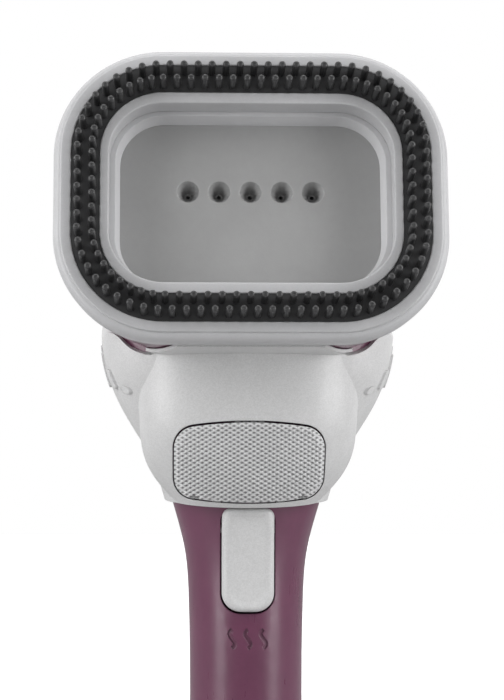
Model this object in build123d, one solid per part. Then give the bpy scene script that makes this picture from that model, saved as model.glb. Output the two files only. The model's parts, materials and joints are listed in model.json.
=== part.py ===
from build123d import *
import math
import os

# Handheld garment steamer, in millimetres. +Z is up along the handle, the steam head faces -Y
# and +X is to the right of someone who looks at the steam head. The origin is the centre of
# the flat base that the steamer stands on.

# ------------------------------------------------------------------ driving dimensions
HANDLE_WIDTH = 40.0
HANDLE_DEPTH = 44.0
BULB_WIDTH = 99.0
BULB_FRONT = 41.0  # how far the rounded upper body reaches in front of the handle's axis
BULB_BACK = 48.0  # and behind it
BULB_WAIST = -22.0  # y of the line along which the upper body is widest
BASE_FLARE = 6.0  # how far the foot spreads beyond the handle at its sides
BASE_REACH = 16.0  # and at its front and back
GRIP_TOP = 92.0  # height at which the handle starts to swell into the upper body
BULB_MID = 212.0  # height of the upper body's widest level
CROWN_RISE = 46.0  # from there up to the crown
SHELL_WALL = 2.2
SEAM_Y = 2.0  # plane that parts the front and the rear housing

HEAD_HEIGHT = 228.7  # centre of the steam head's front face
HEAD_REACH = 62.0  # how far that centre lies in front of the handle's axis
HEAD_TILT = 10.0  # degrees by which the head looks up
FRAME_WIDTH = 129.4
FRAME_LENGTH = 98.6  # across the head, from its lower to its upper edge
FRAME_CORNER = 36.0
FRAME_EDGE = 4.6  # depth of the rounded front edge of the brush frame
FRAME_WALL = 2.1
RECESS_DEPTH = 14.0  # from the front face down to the steam plate
RECESS_DRAFT = 3.2  # how much narrower the recess is at its floor, on each side

STRIP_INSET = 5.9  # from the frame's outline to the rubber strip
STRIP_WIDTH = 9.4
STRIP_THICKNESS = 2.2
BRISTLE_LENGTH = 8.0
BRISTLE_RADIUS = 1.15
BRISTLE_PITCH = 4.57
BRISTLE_ROWS = 4.7  # distance between the two rows

NOZZLE_COUNT = 5
NOZZLE_PITCH = 10.4
NOZZLE_RADIUS = 3.7
NOZZLE_DEPTH = 6.0
NOZZLE_BORE = 0.65
NOZZLE_RISE = 4.6  # height of the nozzle row above the middle of the plate
PLATE_THICKNESS = 3.0

COLLAR_WALL = 2.3
COLLAR_LOW = 125.6  # lower edge of the collar at the front
CHIN_REACH = 44.5  # how far the collar's chin reaches in front of the handle's axis
PAD_WIDTH = 51.0
PAD_LOW = 127.4
PAD_HIGH = 154.3

TRIGGER_WIDTH = 18.2
TRIGGER_LENGTH = 34.5
TRIGGER_PROUD = 3.6  # how far the trigger stands in front of the handle
PIVOT_RADIUS = 1.5

TANK_LOW = 160.0
TANK_HIGH = 236.0
TANK_FACE_Y = 15.0  # front wall of the water tank
TANK_WALL = 2.0

CORD_BORE = 4.2  # radius of the hole for the mains cord
BASE_THICKNESS = 6.0
SCREW_RADIUS = 1.5
SCREW_HEAD_RADIUS = 2.9

GAP = 0.4  # clearance between a moving piece and what it moves past
FIT = 0.3  # clearance between two fixed pieces that slip together
RUN = 0.05  # radial clearance of a pin in its bore

# ------------------------------------------------------------------ derived places
CROWN_HEIGHT = BULB_MID + CROWN_RISE
CROWN_SHARE = 0.975  # share of the crown's rise at which its flat top lies
CROWN_FLAT = BULB_MID + CROWN_SHARE * CROWN_RISE
TILT = math.radians(HEAD_TILT)
HEAD_NORMAL = Vector(0, -math.cos(TILT), math.sin(TILT))
HEAD_CENTRE = Vector(0, -HEAD_REACH, HEAD_HEIGHT)


os.makedirs("parts", exist_ok=True)


def head_plane(w=0.0):
    """The head's own plane, w in front of its face: x to the right, y up the face."""
    return Plane(origin=HEAD_CENTRE + HEAD_NORMAL * w, x_dir=(1, 0, 0), z_dir=HEAD_NORMAL)


def block(x0, x1, y0, y1, z0, z1):
    """A box between two corners."""
    return Pos((x0 + x1) / 2, (y0 + y1) / 2, (z0 + z1) / 2) * Box(x1 - x0, y1 - y0, z1 - z0)


def rod_x(radius, length, y, z, x=0.0):
    """A round bar along X, centred on x."""
    return Pos(x, y, z) * Rot(0, 90, 0) * Cylinder(radius, length)


def rod_y(radius, y0, y1, x, z):
    """A round bar along Y from y0 to y1."""
    return Pos(x, (y0 + y1) / 2, z) * Rot(90, 0, 0) * Cylinder(radius, y1 - y0)


def rod_z(radius, z0, z1, x, y):
    """A round bar along Z from z0 to z1."""
    return Pos(x, y, (z0 + z1) / 2) * Cylinder(radius, z1 - z0)


def rounded(w, grow=0.0, width=FRAME_WIDTH, length=FRAME_LENGTH, corner=FRAME_CORNER):
    """A rounded rectangle on the head's plane at w, grown outwards by grow."""
    outline = RectangleRounded(width + 2 * grow, length + 2 * grow, corner + grow)
    return head_plane(w) * outline


def tube(points, radii, radius, wall=0.0):
    """A pipe along straight runs joined by tangent arcs; solid where wall is 0."""
    path = FilletPolyline(*points, radius=radii) if radii else Polyline(*points)
    start = Plane(origin=path @ 0, z_dir=path % 0)
    pipe = sweep(start * Circle(radius), path=path)
    if wall:
        pipe -= sweep(start * Circle(radius - wall), path=path)
    return pipe


def save(name, shape):
    """Writes one sub-part and prints its volume."""
    solids = shape.solids()
    export_step(Compound(children=list(solids)) if len(solids) > 1 else solids[0], f"parts/{name}.step")
    print(name, len(solids), round(sum(s.volume for s in solids)))


# ------------------------------------------------------------------ the body's outer form
# (share of the way from the grip to the widest level, share of the way from the handle's
# size to the upper body's size)
SWELL = (
    (0.0, 0.012),
    (0.15, 0.058),
    (0.29, 0.20),
    (0.425, 0.385),
    (0.546, 0.67),
    (0.66, 0.87),
    (0.79, 0.955),
    (1.0, 1.0),
)
CROWN = (0.35, 0.6, 0.8, 0.92, CROWN_SHARE)
CROWN_LEAN = 30.0  # how far the crown's widest line shifts to the back as it closes
FOOT = ((0.0, 1.0), (0.06, 0.96), (0.17, 0.45), (0.32, 0.10), (0.56, 0.0), (0.80, 0.0))
ROUND = 0.5523  # Bezier handle length that makes a quarter ellipse


def oval(z, half_width, front, back, waist=0.0):
    """A smooth oval at height z that reaches front before the axis and back behind it.

    It is widest at y = waist.
    """
    corners = ((half_width, 0), (0, back - waist), (-half_width, 0), (0, -front - waist))
    edges = []
    for (ax, ay), (bx, by) in zip(corners, corners[1:] + corners[:1]):
        points = ((ax, ay), (ax + ROUND * bx, ay + ROUND * by), (bx + ROUND * ax, by + ROUND * ay), (bx, by))
        edges.append(Bezier(*[(x, y + waist) for x, y in points]))
    return Pos(0, 0, z) * make_face(edges)


def crown_reach(share, grow=0.0):
    """(height, half width, reach to the front and to the back, widest line) of a crown section."""
    size = math.sqrt(1 - share * share)
    waist = BULB_WAIST + CROWN_LEAN * share * share
    front = (BULB_FRONT + BULB_WAIST + grow) * size - waist
    back = (BULB_BACK - BULB_WAIST + grow) * size + waist
    z = BULB_MID + share * (CROWN_RISE + grow)
    return z, (BULB_WIDTH / 2 + grow) * size, front, back, waist


def body_form(grow=0.0):
    """The whole body from the foot to the crown as one solid, grown sideways by grow."""
    half = HANDLE_WIDTH / 2 + grow
    deep = HANDLE_DEPTH / 2 + grow
    wide = BULB_WIDTH / 2 + grow
    front = BULB_FRONT + grow
    back = BULB_BACK + grow
    faces = []
    for share, flare in FOOT:
        reach = deep + BASE_REACH * flare
        faces.append(oval(share * GRIP_TOP, half + BASE_FLARE * flare, reach, reach))
    for share, swell in SWELL:
        z = GRIP_TOP + share * (BULB_MID - GRIP_TOP)
        half_width = half + swell * (wide - half)
        before = deep + swell * (front - deep)
        behind = deep + swell * (back - deep)
        faces.append(oval(z, half_width, before, behind, swell * BULB_WAIST))
    for share in CROWN:
        faces.append(oval(*crown_reach(share, grow)))
    return loft(faces)


BELL_WIDTH = FRAME_WIDTH - 5.0
BELL_LENGTH = FRAME_LENGTH - 5.0
BELL_CORNER = FRAME_CORNER - 2.0
BELL_DEPTH = 54.0
BELL_END_WIDTH = 0.93 * BULB_WIDTH
BELL_END_LENGTH = 0.74 * BULB_WIDTH
# (share of the bell's depth, share of the way from the head's size to the body's size)
BELL = ((0.0, 0.0), (0.37, 0.20), (0.70, 0.58), (1.0, 1.0))


def bell_form(grow=0.0, overrun=0.0):
    """The flared neck from the steam head's back into the upper body, grown by grow."""
    faces = []
    for share, close in BELL:
        width = BELL_WIDTH + close * (BELL_END_WIDTH - BELL_WIDTH) + 2 * grow
        length = BELL_LENGTH + close * (BELL_END_LENGTH - BELL_LENGTH) + 2 * grow
        w = -RECESS_DEPTH - share * BELL_DEPTH
        faces.append(head_plane(w) * RectangleRounded(width, length, BELL_CORNER + grow))
    form = loft(faces)
    if overrun:
        form += extrude(faces[0], overrun)
    return form


BODY = body_form()
BODY_INSIDE = body_form(-SHELL_WALL)
BELL_OUTSIDE = bell_form()
BELL_INSIDE = bell_form(-SHELL_WALL, overrun=5.0)
FAR = 400.0
FRONT_HALF = block(-FAR, FAR, -FAR, SEAM_Y, BASE_THICKNESS, FAR)
REAR_HALF = block(-FAR, FAR, SEAM_Y, FAR, BASE_THICKNESS, FAR)


def front_plane(y):
    """A vertical plane at y: x to the right, y up, facing forward."""
    return Plane(origin=(0, y, 0), x_dir=(1, 0, 0), z_dir=(0, -1, 0))


def slab(w_low, w_high, width, length, corner, x=0.0, y=0.0):
    """A rounded block between two depths of the head, centred at x, y of its face."""
    return extrude(head_plane(w_low) * Pos(x, y) * RectangleRounded(width, length, corner), w_high - w_low)


def stud(radius, w_low, w_high, x, y):
    """A round bar along the head's normal."""
    return extrude(head_plane(w_low) * Pos(x, y) * Circle(radius), w_high - w_low)


def coil(radius, wire, length, turns):
    """A helical spring along +Z from 0 to length."""
    path = Helix(pitch=(length - 2 * wire) / turns, height=length - 2 * wire, radius=radius)
    profile = Plane(origin=path @ 0, z_dir=path % 0) * Circle(wire)
    return Pos(0, 0, wire) * sweep(profile, path=path, is_frenet=True)


# ------------------------------------------------------------------ chin and collar forms
# (height, half width, reach in front of the axis, widest line) of the chin under the head
CHIN = (
    (118.0, 18.5, 26.5, -8.0),
    (122.0, 20.8, 29.0, -9.0),
    (128.3, 26.0, 34.4, -12.0),
    (133.9, 30.8, 38.0, -16.0),
    (140.9, 35.0, 41.0, -21.0),
    (148.0, 36.8, 43.0, -25.0),
    (160.0, 37.6, CHIN_REACH, -27.0),
    (176.0, 37.2, CHIN_REACH, -28.0),
    (192.0, 34.0, CHIN_REACH, -28.0),
)
CHIN_BACK = 10.0


def chin_form(grow=0.0):
    """The chin as a solid, grown sideways by grow."""
    faces = []
    for z, half_width, reach, waist in CHIN:
        faces.append(oval(z, half_width + grow, reach + grow, CHIN_BACK + grow, waist))
    return loft(faces)


# upper edge of the collar, drawn at y = 0: the wing from its tip down to the notch's bottom,
# then the side of the tongue that rises under the head
WING_EDGE = (
    (56.0, 193.0),
    (50.4, 194.6),
    (48.4, 197.8),
    (46.4, 198.8),
    (43.6, 197.6),
    (40.8, 195.5),
    (37.0, 194.3),
    (33.2, 194.2),
)
TONGUE_EDGE = ((24.2, 199.8), (23.2, 203.0), (23.2, 230.0))
SCOOP_SLOPE = math.radians(25)
SCOOP_RUN = Vector(0, math.cos(SCOOP_SLOPE), math.sin(SCOOP_SLOPE))
COLLAR_RISE = math.radians(6)  # slope of the collar's lower edge, up to the back
COLLAR_BACK = ((-11.0, 90.0), (12.0, 200.0))  # (y, z) of the collar's rear edge
CHIN_LOW_REACH = 31.0  # reach of the chin at its lower edge
PROUD = COLLAR_WALL + 0.3
COLLAR_SIDE = 80.0  # half the width of the rooms that the collar is cut from
COLLAR_UNDER = 60.0  # a height below all of the collar
WING_OUT = 192.0  # height of the upper edge beyond the wing's tip


def scoop_zone():
    """Everything below the collar's upper edge, swept back and up at the edge's slope."""
    right = [(x, 0, z) for x, z in WING_EDGE]
    left = [(-x, 0, z) for x, z in WING_EDGE]
    rise = [(x, 0, z) for x, z in WING_EDGE[-1:] + TONGUE_EDGE]
    fall = [(-x, y, z) for x, y, z in reversed(rise)]
    around = ((-COLLAR_SIDE, 0, WING_OUT), (-COLLAR_SIDE, 0, COLLAR_UNDER))
    across = ((COLLAR_SIDE, 0, COLLAR_UNDER), (COLLAR_SIDE, 0, WING_OUT))
    edges = [
        Spline(*right),
        Polyline(*rise),
        Line(rise[-1], fall[0]),
        Polyline(*fall),
        Spline(*reversed(left)),
        Polyline(left[0], *around, *across, right[0]),
    ]
    face = make_face(edges)
    return extrude(Pos(*(SCOOP_RUN * -200)) * face, 400, dir=tuple(SCOOP_RUN))


def side_zone(points):
    """A room of the collar's full width with the given (y, z) outline."""
    face = make_face(Polyline(*[(0, y, z) for y, z in points], close=True))
    return extrude(face, COLLAR_SIDE, both=True, dir=(1, 0, 0))


def collar_zone():
    """The room that the collar fills: above its lower edge, ahead of its rear edge."""
    ahead, behind, above = -90.0, 60.0, 260.0
    low = [(y, COLLAR_LOW + (y + CHIN_LOW_REACH) * math.tan(COLLAR_RISE)) for y in (ahead, behind)]
    over = side_zone(low + [(behind, above), (ahead, above)])
    (low_y, low_z), (high_y, high_z) = COLLAR_BACK
    rear = side_zone([(ahead, low_z), (low_y, low_z), (high_y, high_z), (high_y, above), (ahead, above)])
    return over & rear & scoop_zone()


CHIN_OUTSIDE = chin_form()
CHIN_INSIDE = chin_form(-COLLAR_WALL)
TONGUE_FRONT = -11.2  # depth at which the collar's tongue ends behind the brush frame's skirt
TONGUE_PROUD = 1.5
# half of the tongue's outline from below, narrowing towards the brush frame
TONGUE_SIDE = ((35.0, -22.0), (35.0, -37.0), (24.4, -56.0), (24.4, -70.0))


def tongue_form():
    """The collar's tongue that lies under the bell and ends behind the brush frame."""
    left = [(-x, y) for x, y in reversed(TONGUE_SIDE)]
    outline = make_face(Polyline(*TONGUE_SIDE, *left, close=True))
    room = extrude(Pos(0, 0, 160) * outline, 32)
    room -= extrude(head_plane(TONGUE_FRONT) * Rectangle(200, 200), 80)
    return bell_form(TONGUE_PROUD) & room


COLLAR_OUTSIDE = body_form(PROUD) + CHIN_OUTSIDE
BELL_CLEAR = bell_form(FIT, overrun=30.0)

# ------------------------------------------------------------------ places of the fittings
PIVOT = Vector(0, -16.0, 118.0)  # axis of the trigger
HINGE = Vector(0, -29.3, 129.6)  # axis of the release button
HINGE_RADIUS = 1.2
TRIGGER_TOP = 124.0
TRIGGER_FOOT = TRIGGER_TOP - TRIGGER_LENGTH
FOOT_GAP = 2 * GAP  # the trigger's lower end swings down a little as it goes in
CORD_HEIGHT = 17.0
HANDLE_SCREWS = (36.0, 80.0)
CROWN_SCREWS = ((-22.0, 243.0), (22.0, 243.0))
SEAT_RADIUS = 3.6
SCREW_HEAD_SINK = 5.0
SCREW_REACH = 9.0  # how far the screws go into the front housing
_, _, crown_front, crown_back, _ = crown_reach(CROWN_SHARE)
BUTTON_Y = (crown_back - crown_front) / 2
BUTTON_RADIUS = 7.0
LENS_RADIUS = 8.8
BUTTON_STROKE = 1.5
WALL_TOP = BULB_MID + CROWN_SHARE * (CROWN_RISE - SHELL_WALL)  # underside of the crown
BOARD_HEIGHT = TANK_HIGH + 5.2
SPIGOT_HEIGHT = TANK_LOW + 7.0
SPIGOT_RADIUS = 4.0
PUMP = Vector(0, -6.0, 130.0)
PUMP_RADIUS = 11.0
PUMP_LENGTH = 20.0
HOSE_RADIUS = 3.0
HOSE_WALL = 1.0
NIPPLE_RADIUS = HOSE_RADIUS - HOSE_WALL


def back_of_body(x, z):
    """How far the body reaches behind the handle's axis at x and z."""
    line = rod_y(0.2, 0, 90, x, z) & BODY
    return line.bounding_box().max.Y


TRIGGER_CORNER = 6.5
TRIGGER_SHOULDER = 3.0
trigger_middle = (TRIGGER_TOP + TRIGGER_FOOT) / 2


def trigger_outline(grow=0.0, longer=0.0):
    """The trigger's outline from the front, its lower corners rounder than the upper ones."""
    outline = Pos(0, -longer / 2) * Rectangle(TRIGGER_WIDTH + 2 * grow, TRIGGER_LENGTH + 2 * grow + longer)
    corners = outline.vertices().sort_by(Axis.Y)
    outline = fillet(corners[:2], TRIGGER_CORNER + grow)
    return fillet(outline.vertices().sort_by(Axis.Y)[-2:], TRIGGER_SHOULDER + grow)


# ------------------------------------------------------------------ front housing
switch_shelf = block(-30, 30, -30, -1, 86, 88)
switch_cheeks = block(-5.2, 5.2, -9, -1, 86, 100) - block(-3.2, 3.2, -10, 0, 88, 101)
front_inside = switch_shelf + switch_cheeks
for side in (-1, 1):
    front_inside += block(side * 11.6 - 1.3, side * 11.6 + 1.3, -24, -12.4, 113.5, 122)
    front_inside += block(side * 20.6 - 9.4, side * 20.6 + 9.4, -9, -3, PUMP.Z - 3, PUMP.Z)
for z in HANDLE_SCREWS:
    front_inside += rod_y(SEAT_RADIUS, -30, SEAM_Y, 0, z)
for x, z in CROWN_SCREWS:
    front_inside += rod_y(SEAT_RADIUS, -10, SEAM_Y, x, z)
    front_inside += block(x - 1.2, x + 1.2, -10, SEAM_Y, z, z + 30)
front_inside &= BODY + BELL_OUTSIDE

front_housing = (BODY + BELL_OUTSIDE) - BODY_INSIDE - BELL_INSIDE
front_housing = (front_housing & FRONT_HALF) + (front_inside & FRONT_HALF)
trigger_hole = trigger_outline(GAP, FOOT_GAP - GAP)
front_housing -= extrude(front_plane(-17) * Pos(0, trigger_middle) * trigger_hole, 40)
front_housing -= rod_x(PIVOT_RADIUS, 26, PIVOT.Y, PIVOT.Z)
front_housing -= rod_z(PUMP_RADIUS, PUMP.Z - 1, PUMP.Z + 9, PUMP.X, PUMP.Y)
for z in HANDLE_SCREWS:
    front_housing -= rod_y(SCREW_RADIUS, SEAM_Y - SCREW_REACH - 1, SEAM_Y + 1, 0, z)
for x, z in CROWN_SCREWS:
    front_housing -= rod_y(SCREW_RADIUS, SEAM_Y - SCREW_REACH - 1, SEAM_Y + 1, x, z)
LATCH_SLOT = block(-5.8, 5.8, -42.2, -30.0, 156, 184)  # the release arm swings into it
front_housing -= LATCH_SLOT

# three wavy lines of rising steam, pressed into the handle below the trigger
WAVE_LENGTH = 6.3
WAVE_HEIGHT = 80.0
WAVE_DEPTH = 0.5
waves = Sketch()
for lane in (-1, 0, 1):
    points = [(lane * 5.4 + 0.9 * math.sin(t * math.pi / 2), WAVE_LENGTH * (t / 4 - 0.5)) for t in range(5)]
    waves += trace(Spline(*points), line_width=1.3)
wave_tool = extrude(front_plane(0) * Pos(0, WAVE_HEIGHT) * waves, 60)
front_housing -= wave_tool - body_form(-WAVE_DEPTH)
save("front_housing", front_housing)

# ------------------------------------------------------------------ rear housing
TANK_ROOM = block(-80, 80, TANK_FACE_Y - GAP, 80, TANK_LOW - GAP, TANK_HIGH + GAP)
tank_case = block(-80, 80, TANK_FACE_Y - GAP - 2.2, 80, TANK_LOW - GAP - 2.2, TANK_HIGH + GAP + 2.2)
rear_inside = block(-8, 8, 8, 40, 44, 46)
for z in HANDLE_SCREWS:
    rear_inside += rod_y(SEAT_RADIUS, SEAM_Y, 60, 0, z)
    rear_inside += rod_y(SEAT_RADIUS + 1.4, HANDLE_DEPTH / 2 - SCREW_HEAD_SINK - 2.4, 60, 0, z)
for x, z in CROWN_SCREWS:
    rear_inside += rod_y(SEAT_RADIUS, SEAM_Y, 60, x, z)
    rear_inside += rod_y(SEAT_RADIUS + 1.4, 22, 60, x, z)
rear_inside &= BODY
rear_housing = ((BODY + BELL_OUTSIDE) - BODY_INSIDE - BELL_INSIDE) & REAR_HALF
rear_housing += rear_inside & REAR_HALF
rear_housing -= TANK_ROOM
rear_housing -= rod_z(LENS_RADIUS, CROWN_FLAT - 8, CROWN_FLAT + 8, 0, BUTTON_Y)
rear_housing -= rod_y(CORD_BORE + 1.8, 10, 40, 0, CORD_HEIGHT)
SCREW_PLACES = [(0, z) for z in HANDLE_SCREWS] + list(CROWN_SCREWS)
screws = []
for x, z in SCREW_PLACES:
    seat = back_of_body(x, z) - SCREW_HEAD_SINK
    rear_housing -= rod_y(SCREW_RADIUS, SEAM_Y - 1, 60, x, z)
    rear_housing -= rod_y(SCREW_HEAD_RADIUS, seat, 60, x, z)
    screw = rod_y(SCREW_RADIUS, SEAM_Y - SCREW_REACH, seat + 0.2, x, z)
    head = rod_y(SCREW_HEAD_RADIUS, seat, seat + 2.2, x, z)
    cross = block(x - 1.6, x + 1.6, seat + 1.1, seat + 3, z - 0.4, z + 0.4)
    cross += block(x - 0.4, x + 0.4, seat + 1.1, seat + 3, z - 1.6, z + 1.6)
    screws.append(screw + head - cross)
save("rear_housing", rear_housing)
for number, screw in enumerate(screws, 1):
    save(f"housing_screw_{number}", screw)

# ------------------------------------------------------------------ tank cradle
tank_cradle = tank_case
for x in (-13.0, 13.0):
    for y in (15.0, 27.0):
        tank_cradle += rod_z(2.2, TANK_HIGH, BOARD_HEIGHT, x, y)
tank_cradle &= body_form(-SHELL_WALL - RUN) & REAR_HALF
tank_cradle -= TANK_ROOM
tank_cradle -= rod_y(SPIGOT_RADIUS + 1.4, 8, 20, 0, SPIGOT_HEIGHT)
for x, z in CROWN_SCREWS:
    tank_cradle -= rod_y(SEAT_RADIUS + 1.4 + FIT, SEAM_Y, 60, x, z)
save("tank_cradle", tank_cradle)

# ------------------------------------------------------------------ base cap and cord inlet
base_cap = BODY & block(-90, 90, -90, 90, 0, BASE_THICKNESS)
base_cap += body_form(-SHELL_WALL - 0.1) & block(-90, 90, -90, 90, BASE_THICKNESS - 1, BASE_THICKNESS + 4)
base_cap -= body_form(-SHELL_WALL - 1.9) & block(-90, 90, -90, 90, 2.6, BASE_THICKNESS + 6)
save("base_cap", base_cap)

gland_back = back_of_body(0, CORD_HEIGHT - 4) + 1.6
gland = rod_y(CORD_BORE + 1.8, gland_back - 12, gland_back - 1, 0, CORD_HEIGHT)
gland += Pos(0, gland_back, CORD_HEIGHT) * Rot(90, 0, 0) * Cone(CORD_BORE + 2.4, CORD_BORE + 3.6, 2.6)
gland -= rod_y(CORD_BORE, 0, 60, 0, CORD_HEIGHT)
save("cord_gland", (gland - rear_housing).solids().sort_by(SortBy.VOLUME)[-1])

terminal_block = block(-7, 7, 9, 17, 46, 56)
for x in (-4.4, 0.0, 4.4):
    terminal_block -= rod_z(1.4, 50, 60, x, 13)
save("terminal_block", terminal_block)

# ------------------------------------------------------------------ collar
collar = (COLLAR_OUTSIDE & collar_zone()) + tongue_form()
collar -= body_form(0.05) + BELL_CLEAR
hollow = CHIN_INSIDE & block(-60, 60, -60, 60, COLLAR_LOW + 7, 200)
collar -= hollow
collar -= CHIN_INSIDE & block(-9.7, 9.7, -36, -24, HINGE.Z - 2.9, COLLAR_LOW + 8)
# (y, lower end, upper end) of the raised ribs on each wing
RIBS = (
    (-28.0, 164.4, 167.2),
    (-24.0, 166.4, 173.2),
    (-19.5, 167.2, 179.0),
    (-15.0, 170.0, 182.0),
    (-10.5, 173.0, 184.0),
)
RIB_WIDTH = 2.4
RIB_PROUD = 0.9
rib_form = body_form(PROUD + RIB_PROUD)
ribs = []
for y, low, high in RIBS:
    shape = SlotCenterToCenter(high - low - RIB_WIDTH, RIB_WIDTH, rotation=90)
    for side in (-1, 1):
        start = Plane(origin=(side * 30, y, (low + high) / 2), x_dir=(0, 1, 0), z_dir=(side, 0, 0))
        ribs.append(extrude(start * shape, 60) & rib_form)
for rib in ribs:
    collar += rib - body_form(1.5)

PAD_CORNER = 7.4
PAD_ARCH = 2.4  # rise of the pad's arched upper and lower edges
PAD_THICKNESS = 2.6
PAD_PROUD = 0.6
PAD_RISE = 0.25  # extra gap over the pad, which climbs a little as it is pressed
PAD_RELIEF = 0.7  # the same further in, where it has climbed more


def pad_profile(grow=0.0, rise=0.0):
    """Outline of the release button, seen from the front, arched along both long edges."""
    half = PAD_WIDTH / 2 + grow
    low = PAD_LOW - grow
    high = PAD_HIGH + grow + rise
    lower = ThreePointArc((-half, low + PAD_ARCH), (0, low), (half, low + PAD_ARCH))
    upper = ThreePointArc((half, high - PAD_ARCH), (0, high), (-half, high - PAD_ARCH))
    right = Line((half, low + PAD_ARCH), (half, high - PAD_ARCH))
    left = Line((-half, high - PAD_ARCH), (-half, low + PAD_ARCH))
    outline = make_face([lower, right, upper, left])
    return fillet(outline.vertices(), PAD_CORNER + grow)


collar -= extrude(front_plane(-20) * pad_profile(GAP, PAD_RISE), 60)
collar -= extrude(front_plane(-20) * pad_profile(GAP, PAD_RELIEF), 60) & chin_form(-0.4)
LUG_PLACE = 11.0  # how far the two hinge lugs stand from the middle
LUG_SIZE = 2.8
LUG_RISE = 3.0  # how far the lugs reach above and below the hinge
LUG_SINK = 1.4  # how far their fronts lie under the chin's surface


def lugs(grow=0.0):
    """The two hinge lugs behind the pad's lower edge, grown all round."""
    half = LUG_SIZE / 2 + grow
    low = HINGE.Z - LUG_RISE - 0.6 - grow
    high = HINGE.Z + LUG_RISE + grow
    pair = block(LUG_PLACE - half, LUG_PLACE + half, -34 - grow, -26 + grow, low, high)
    pair += mirror(pair, about=Plane.YZ)
    return pair & chin_form(grow - LUG_SINK)


collar += lugs() - body_form(0.05)
collar -= rod_x(HINGE_RADIUS, 30, HINGE.Y, HINGE.Z)
save("collar", collar)

# ------------------------------------------------------------------ release button
pad = extrude(front_plane(-20) * pad_profile(), 60) & chin_form(PAD_PROUD)
pad -= chin_form(PAD_PROUD - PAD_THICKNESS)
pad_front = block(-60, 60, -80, -18, 100, 200)
release_button = (pad & pad_front) - lugs(1.5 * GAP)
release_button += block(-9, 9, -36, HINGE.Y, HINGE.Z - 1.2, HINGE.Z + 1.6) & chin_form(-0.5)
release_button += rod_x(HINGE_RADIUS + 1.0, 18, HINGE.Y, HINGE.Z)
release_button += block(-5, 5, -40.6, -38.2, 146, 181.5)
release_button += block(-5, 5, -43.4, -38.2, 148, 151)
release_button += block(-5, 5, -41.4, -36.6, 179.6, 182)
release_button &= chin_form(PAD_PROUD)
release_button -= rod_x(HINGE_RADIUS + RUN, 40, HINGE.Y, HINGE.Z)
save("release_button", release_button)
save("release_pin", rod_x(HINGE_RADIUS, 24.8, HINGE.Y, HINGE.Z))
SPRING_SEAT = 142.0
SPRING_FRONT = -38.0
release_spring = Pos(0, SPRING_FRONT, SPRING_SEAT) * Rot(-90, 0, 0) * coil(3.0, 0.4, 8.0, 4)
save("release_spring", release_spring)

# ------------------------------------------------------------------ trigger and its switch
trigger = extrude(front_plane(-17) * Pos(0, trigger_middle) * trigger_outline(), 40)
trigger &= body_form(TRIGGER_PROUD)
trigger += block(-2, 2, -18, -12.6, 97, 104)
trigger += rod_x(3.2, TRIGGER_WIDTH, PIVOT.Y, PIVOT.Z)
trigger -= rod_x(PIVOT_RADIUS + RUN, 40, PIVOT.Y, PIVOT.Z)
save("trigger", trigger)
save("trigger_pin", rod_x(PIVOT_RADIUS, 25.6, PIVOT.Y, PIVOT.Z))

micro_switch = block(-3.2, 3.2, -9, -1.5, 88, 108) - rod_y(1.4, -10, -5, 0, 100.5)
save("micro_switch", micro_switch)
save("switch_plunger", rod_y(1.4 - RUN, -12.3, -7.2, 0, 100.5))
trigger_spring = Pos(0, -17, 93) * Rot(-90, 0, 0) * coil(2.4, 0.35, 8.0, 5)
save("trigger_spring", trigger_spring)

# ------------------------------------------------------------------ power button on the crown
light_ring = rod_z(LENS_RADIUS, WALL_TOP, CROWN_FLAT + 0.4, 0, BUTTON_Y)
light_ring -= rod_z(BUTTON_RADIUS + GAP, WALL_TOP - 2, CROWN_FLAT + 2, 0, BUTTON_Y)
save("light_ring", light_ring)
flange_top = WALL_TOP - GAP
power_button = rod_z(BUTTON_RADIUS, flange_top - 1.6, CROWN_FLAT + 1.9, 0, BUTTON_Y)
power_button += rod_z(LENS_RADIUS - 0.6, flange_top - 1.8, flange_top, 0, BUTTON_Y)
SWITCH_TOP = BOARD_HEIGHT + 1.6 + 4.6
power_button += rod_z(2.6, SWITCH_TOP + BUTTON_STROKE + 0.2, flange_top, 0, BUTTON_Y)
crown_form = Pos(0, BUTTON_Y, CROWN_FLAT + 1.9 - 40) * Sphere(40)
power_button &= crown_form + block(-20, 20, -20, 40, 200, CROWN_FLAT)
save("power_button", power_button)
power_spring = Pos(0, BUTTON_Y, BOARD_HEIGHT + 1.6) * coil(
    5.4, 0.35, flange_top - 1.8 - BOARD_HEIGHT - 1.6, 5
)
save("power_spring", power_spring)
control_board = block(-17, 17, 4, 29, BOARD_HEIGHT, BOARD_HEIGHT + 1.6)
for x, y, wide, deep, tall in (
    (0, BUTTON_Y, 6, 6, 3.2),
    (-11, 20, 8, 10, 3.0),
    (11, 22, 7, 8, 4.0),
    (11, 10, 6, 5, 2.0),
):
    top = BOARD_HEIGHT + 1.6
    control_board += block(x - wide / 2, x + wide / 2, y - deep / 2, y + deep / 2, top - 0.1, top + tall)
control_board += rod_z(1.7, BOARD_HEIGHT + 4, SWITCH_TOP, 0, BUTTON_Y)
save("control_board", control_board)

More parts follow.
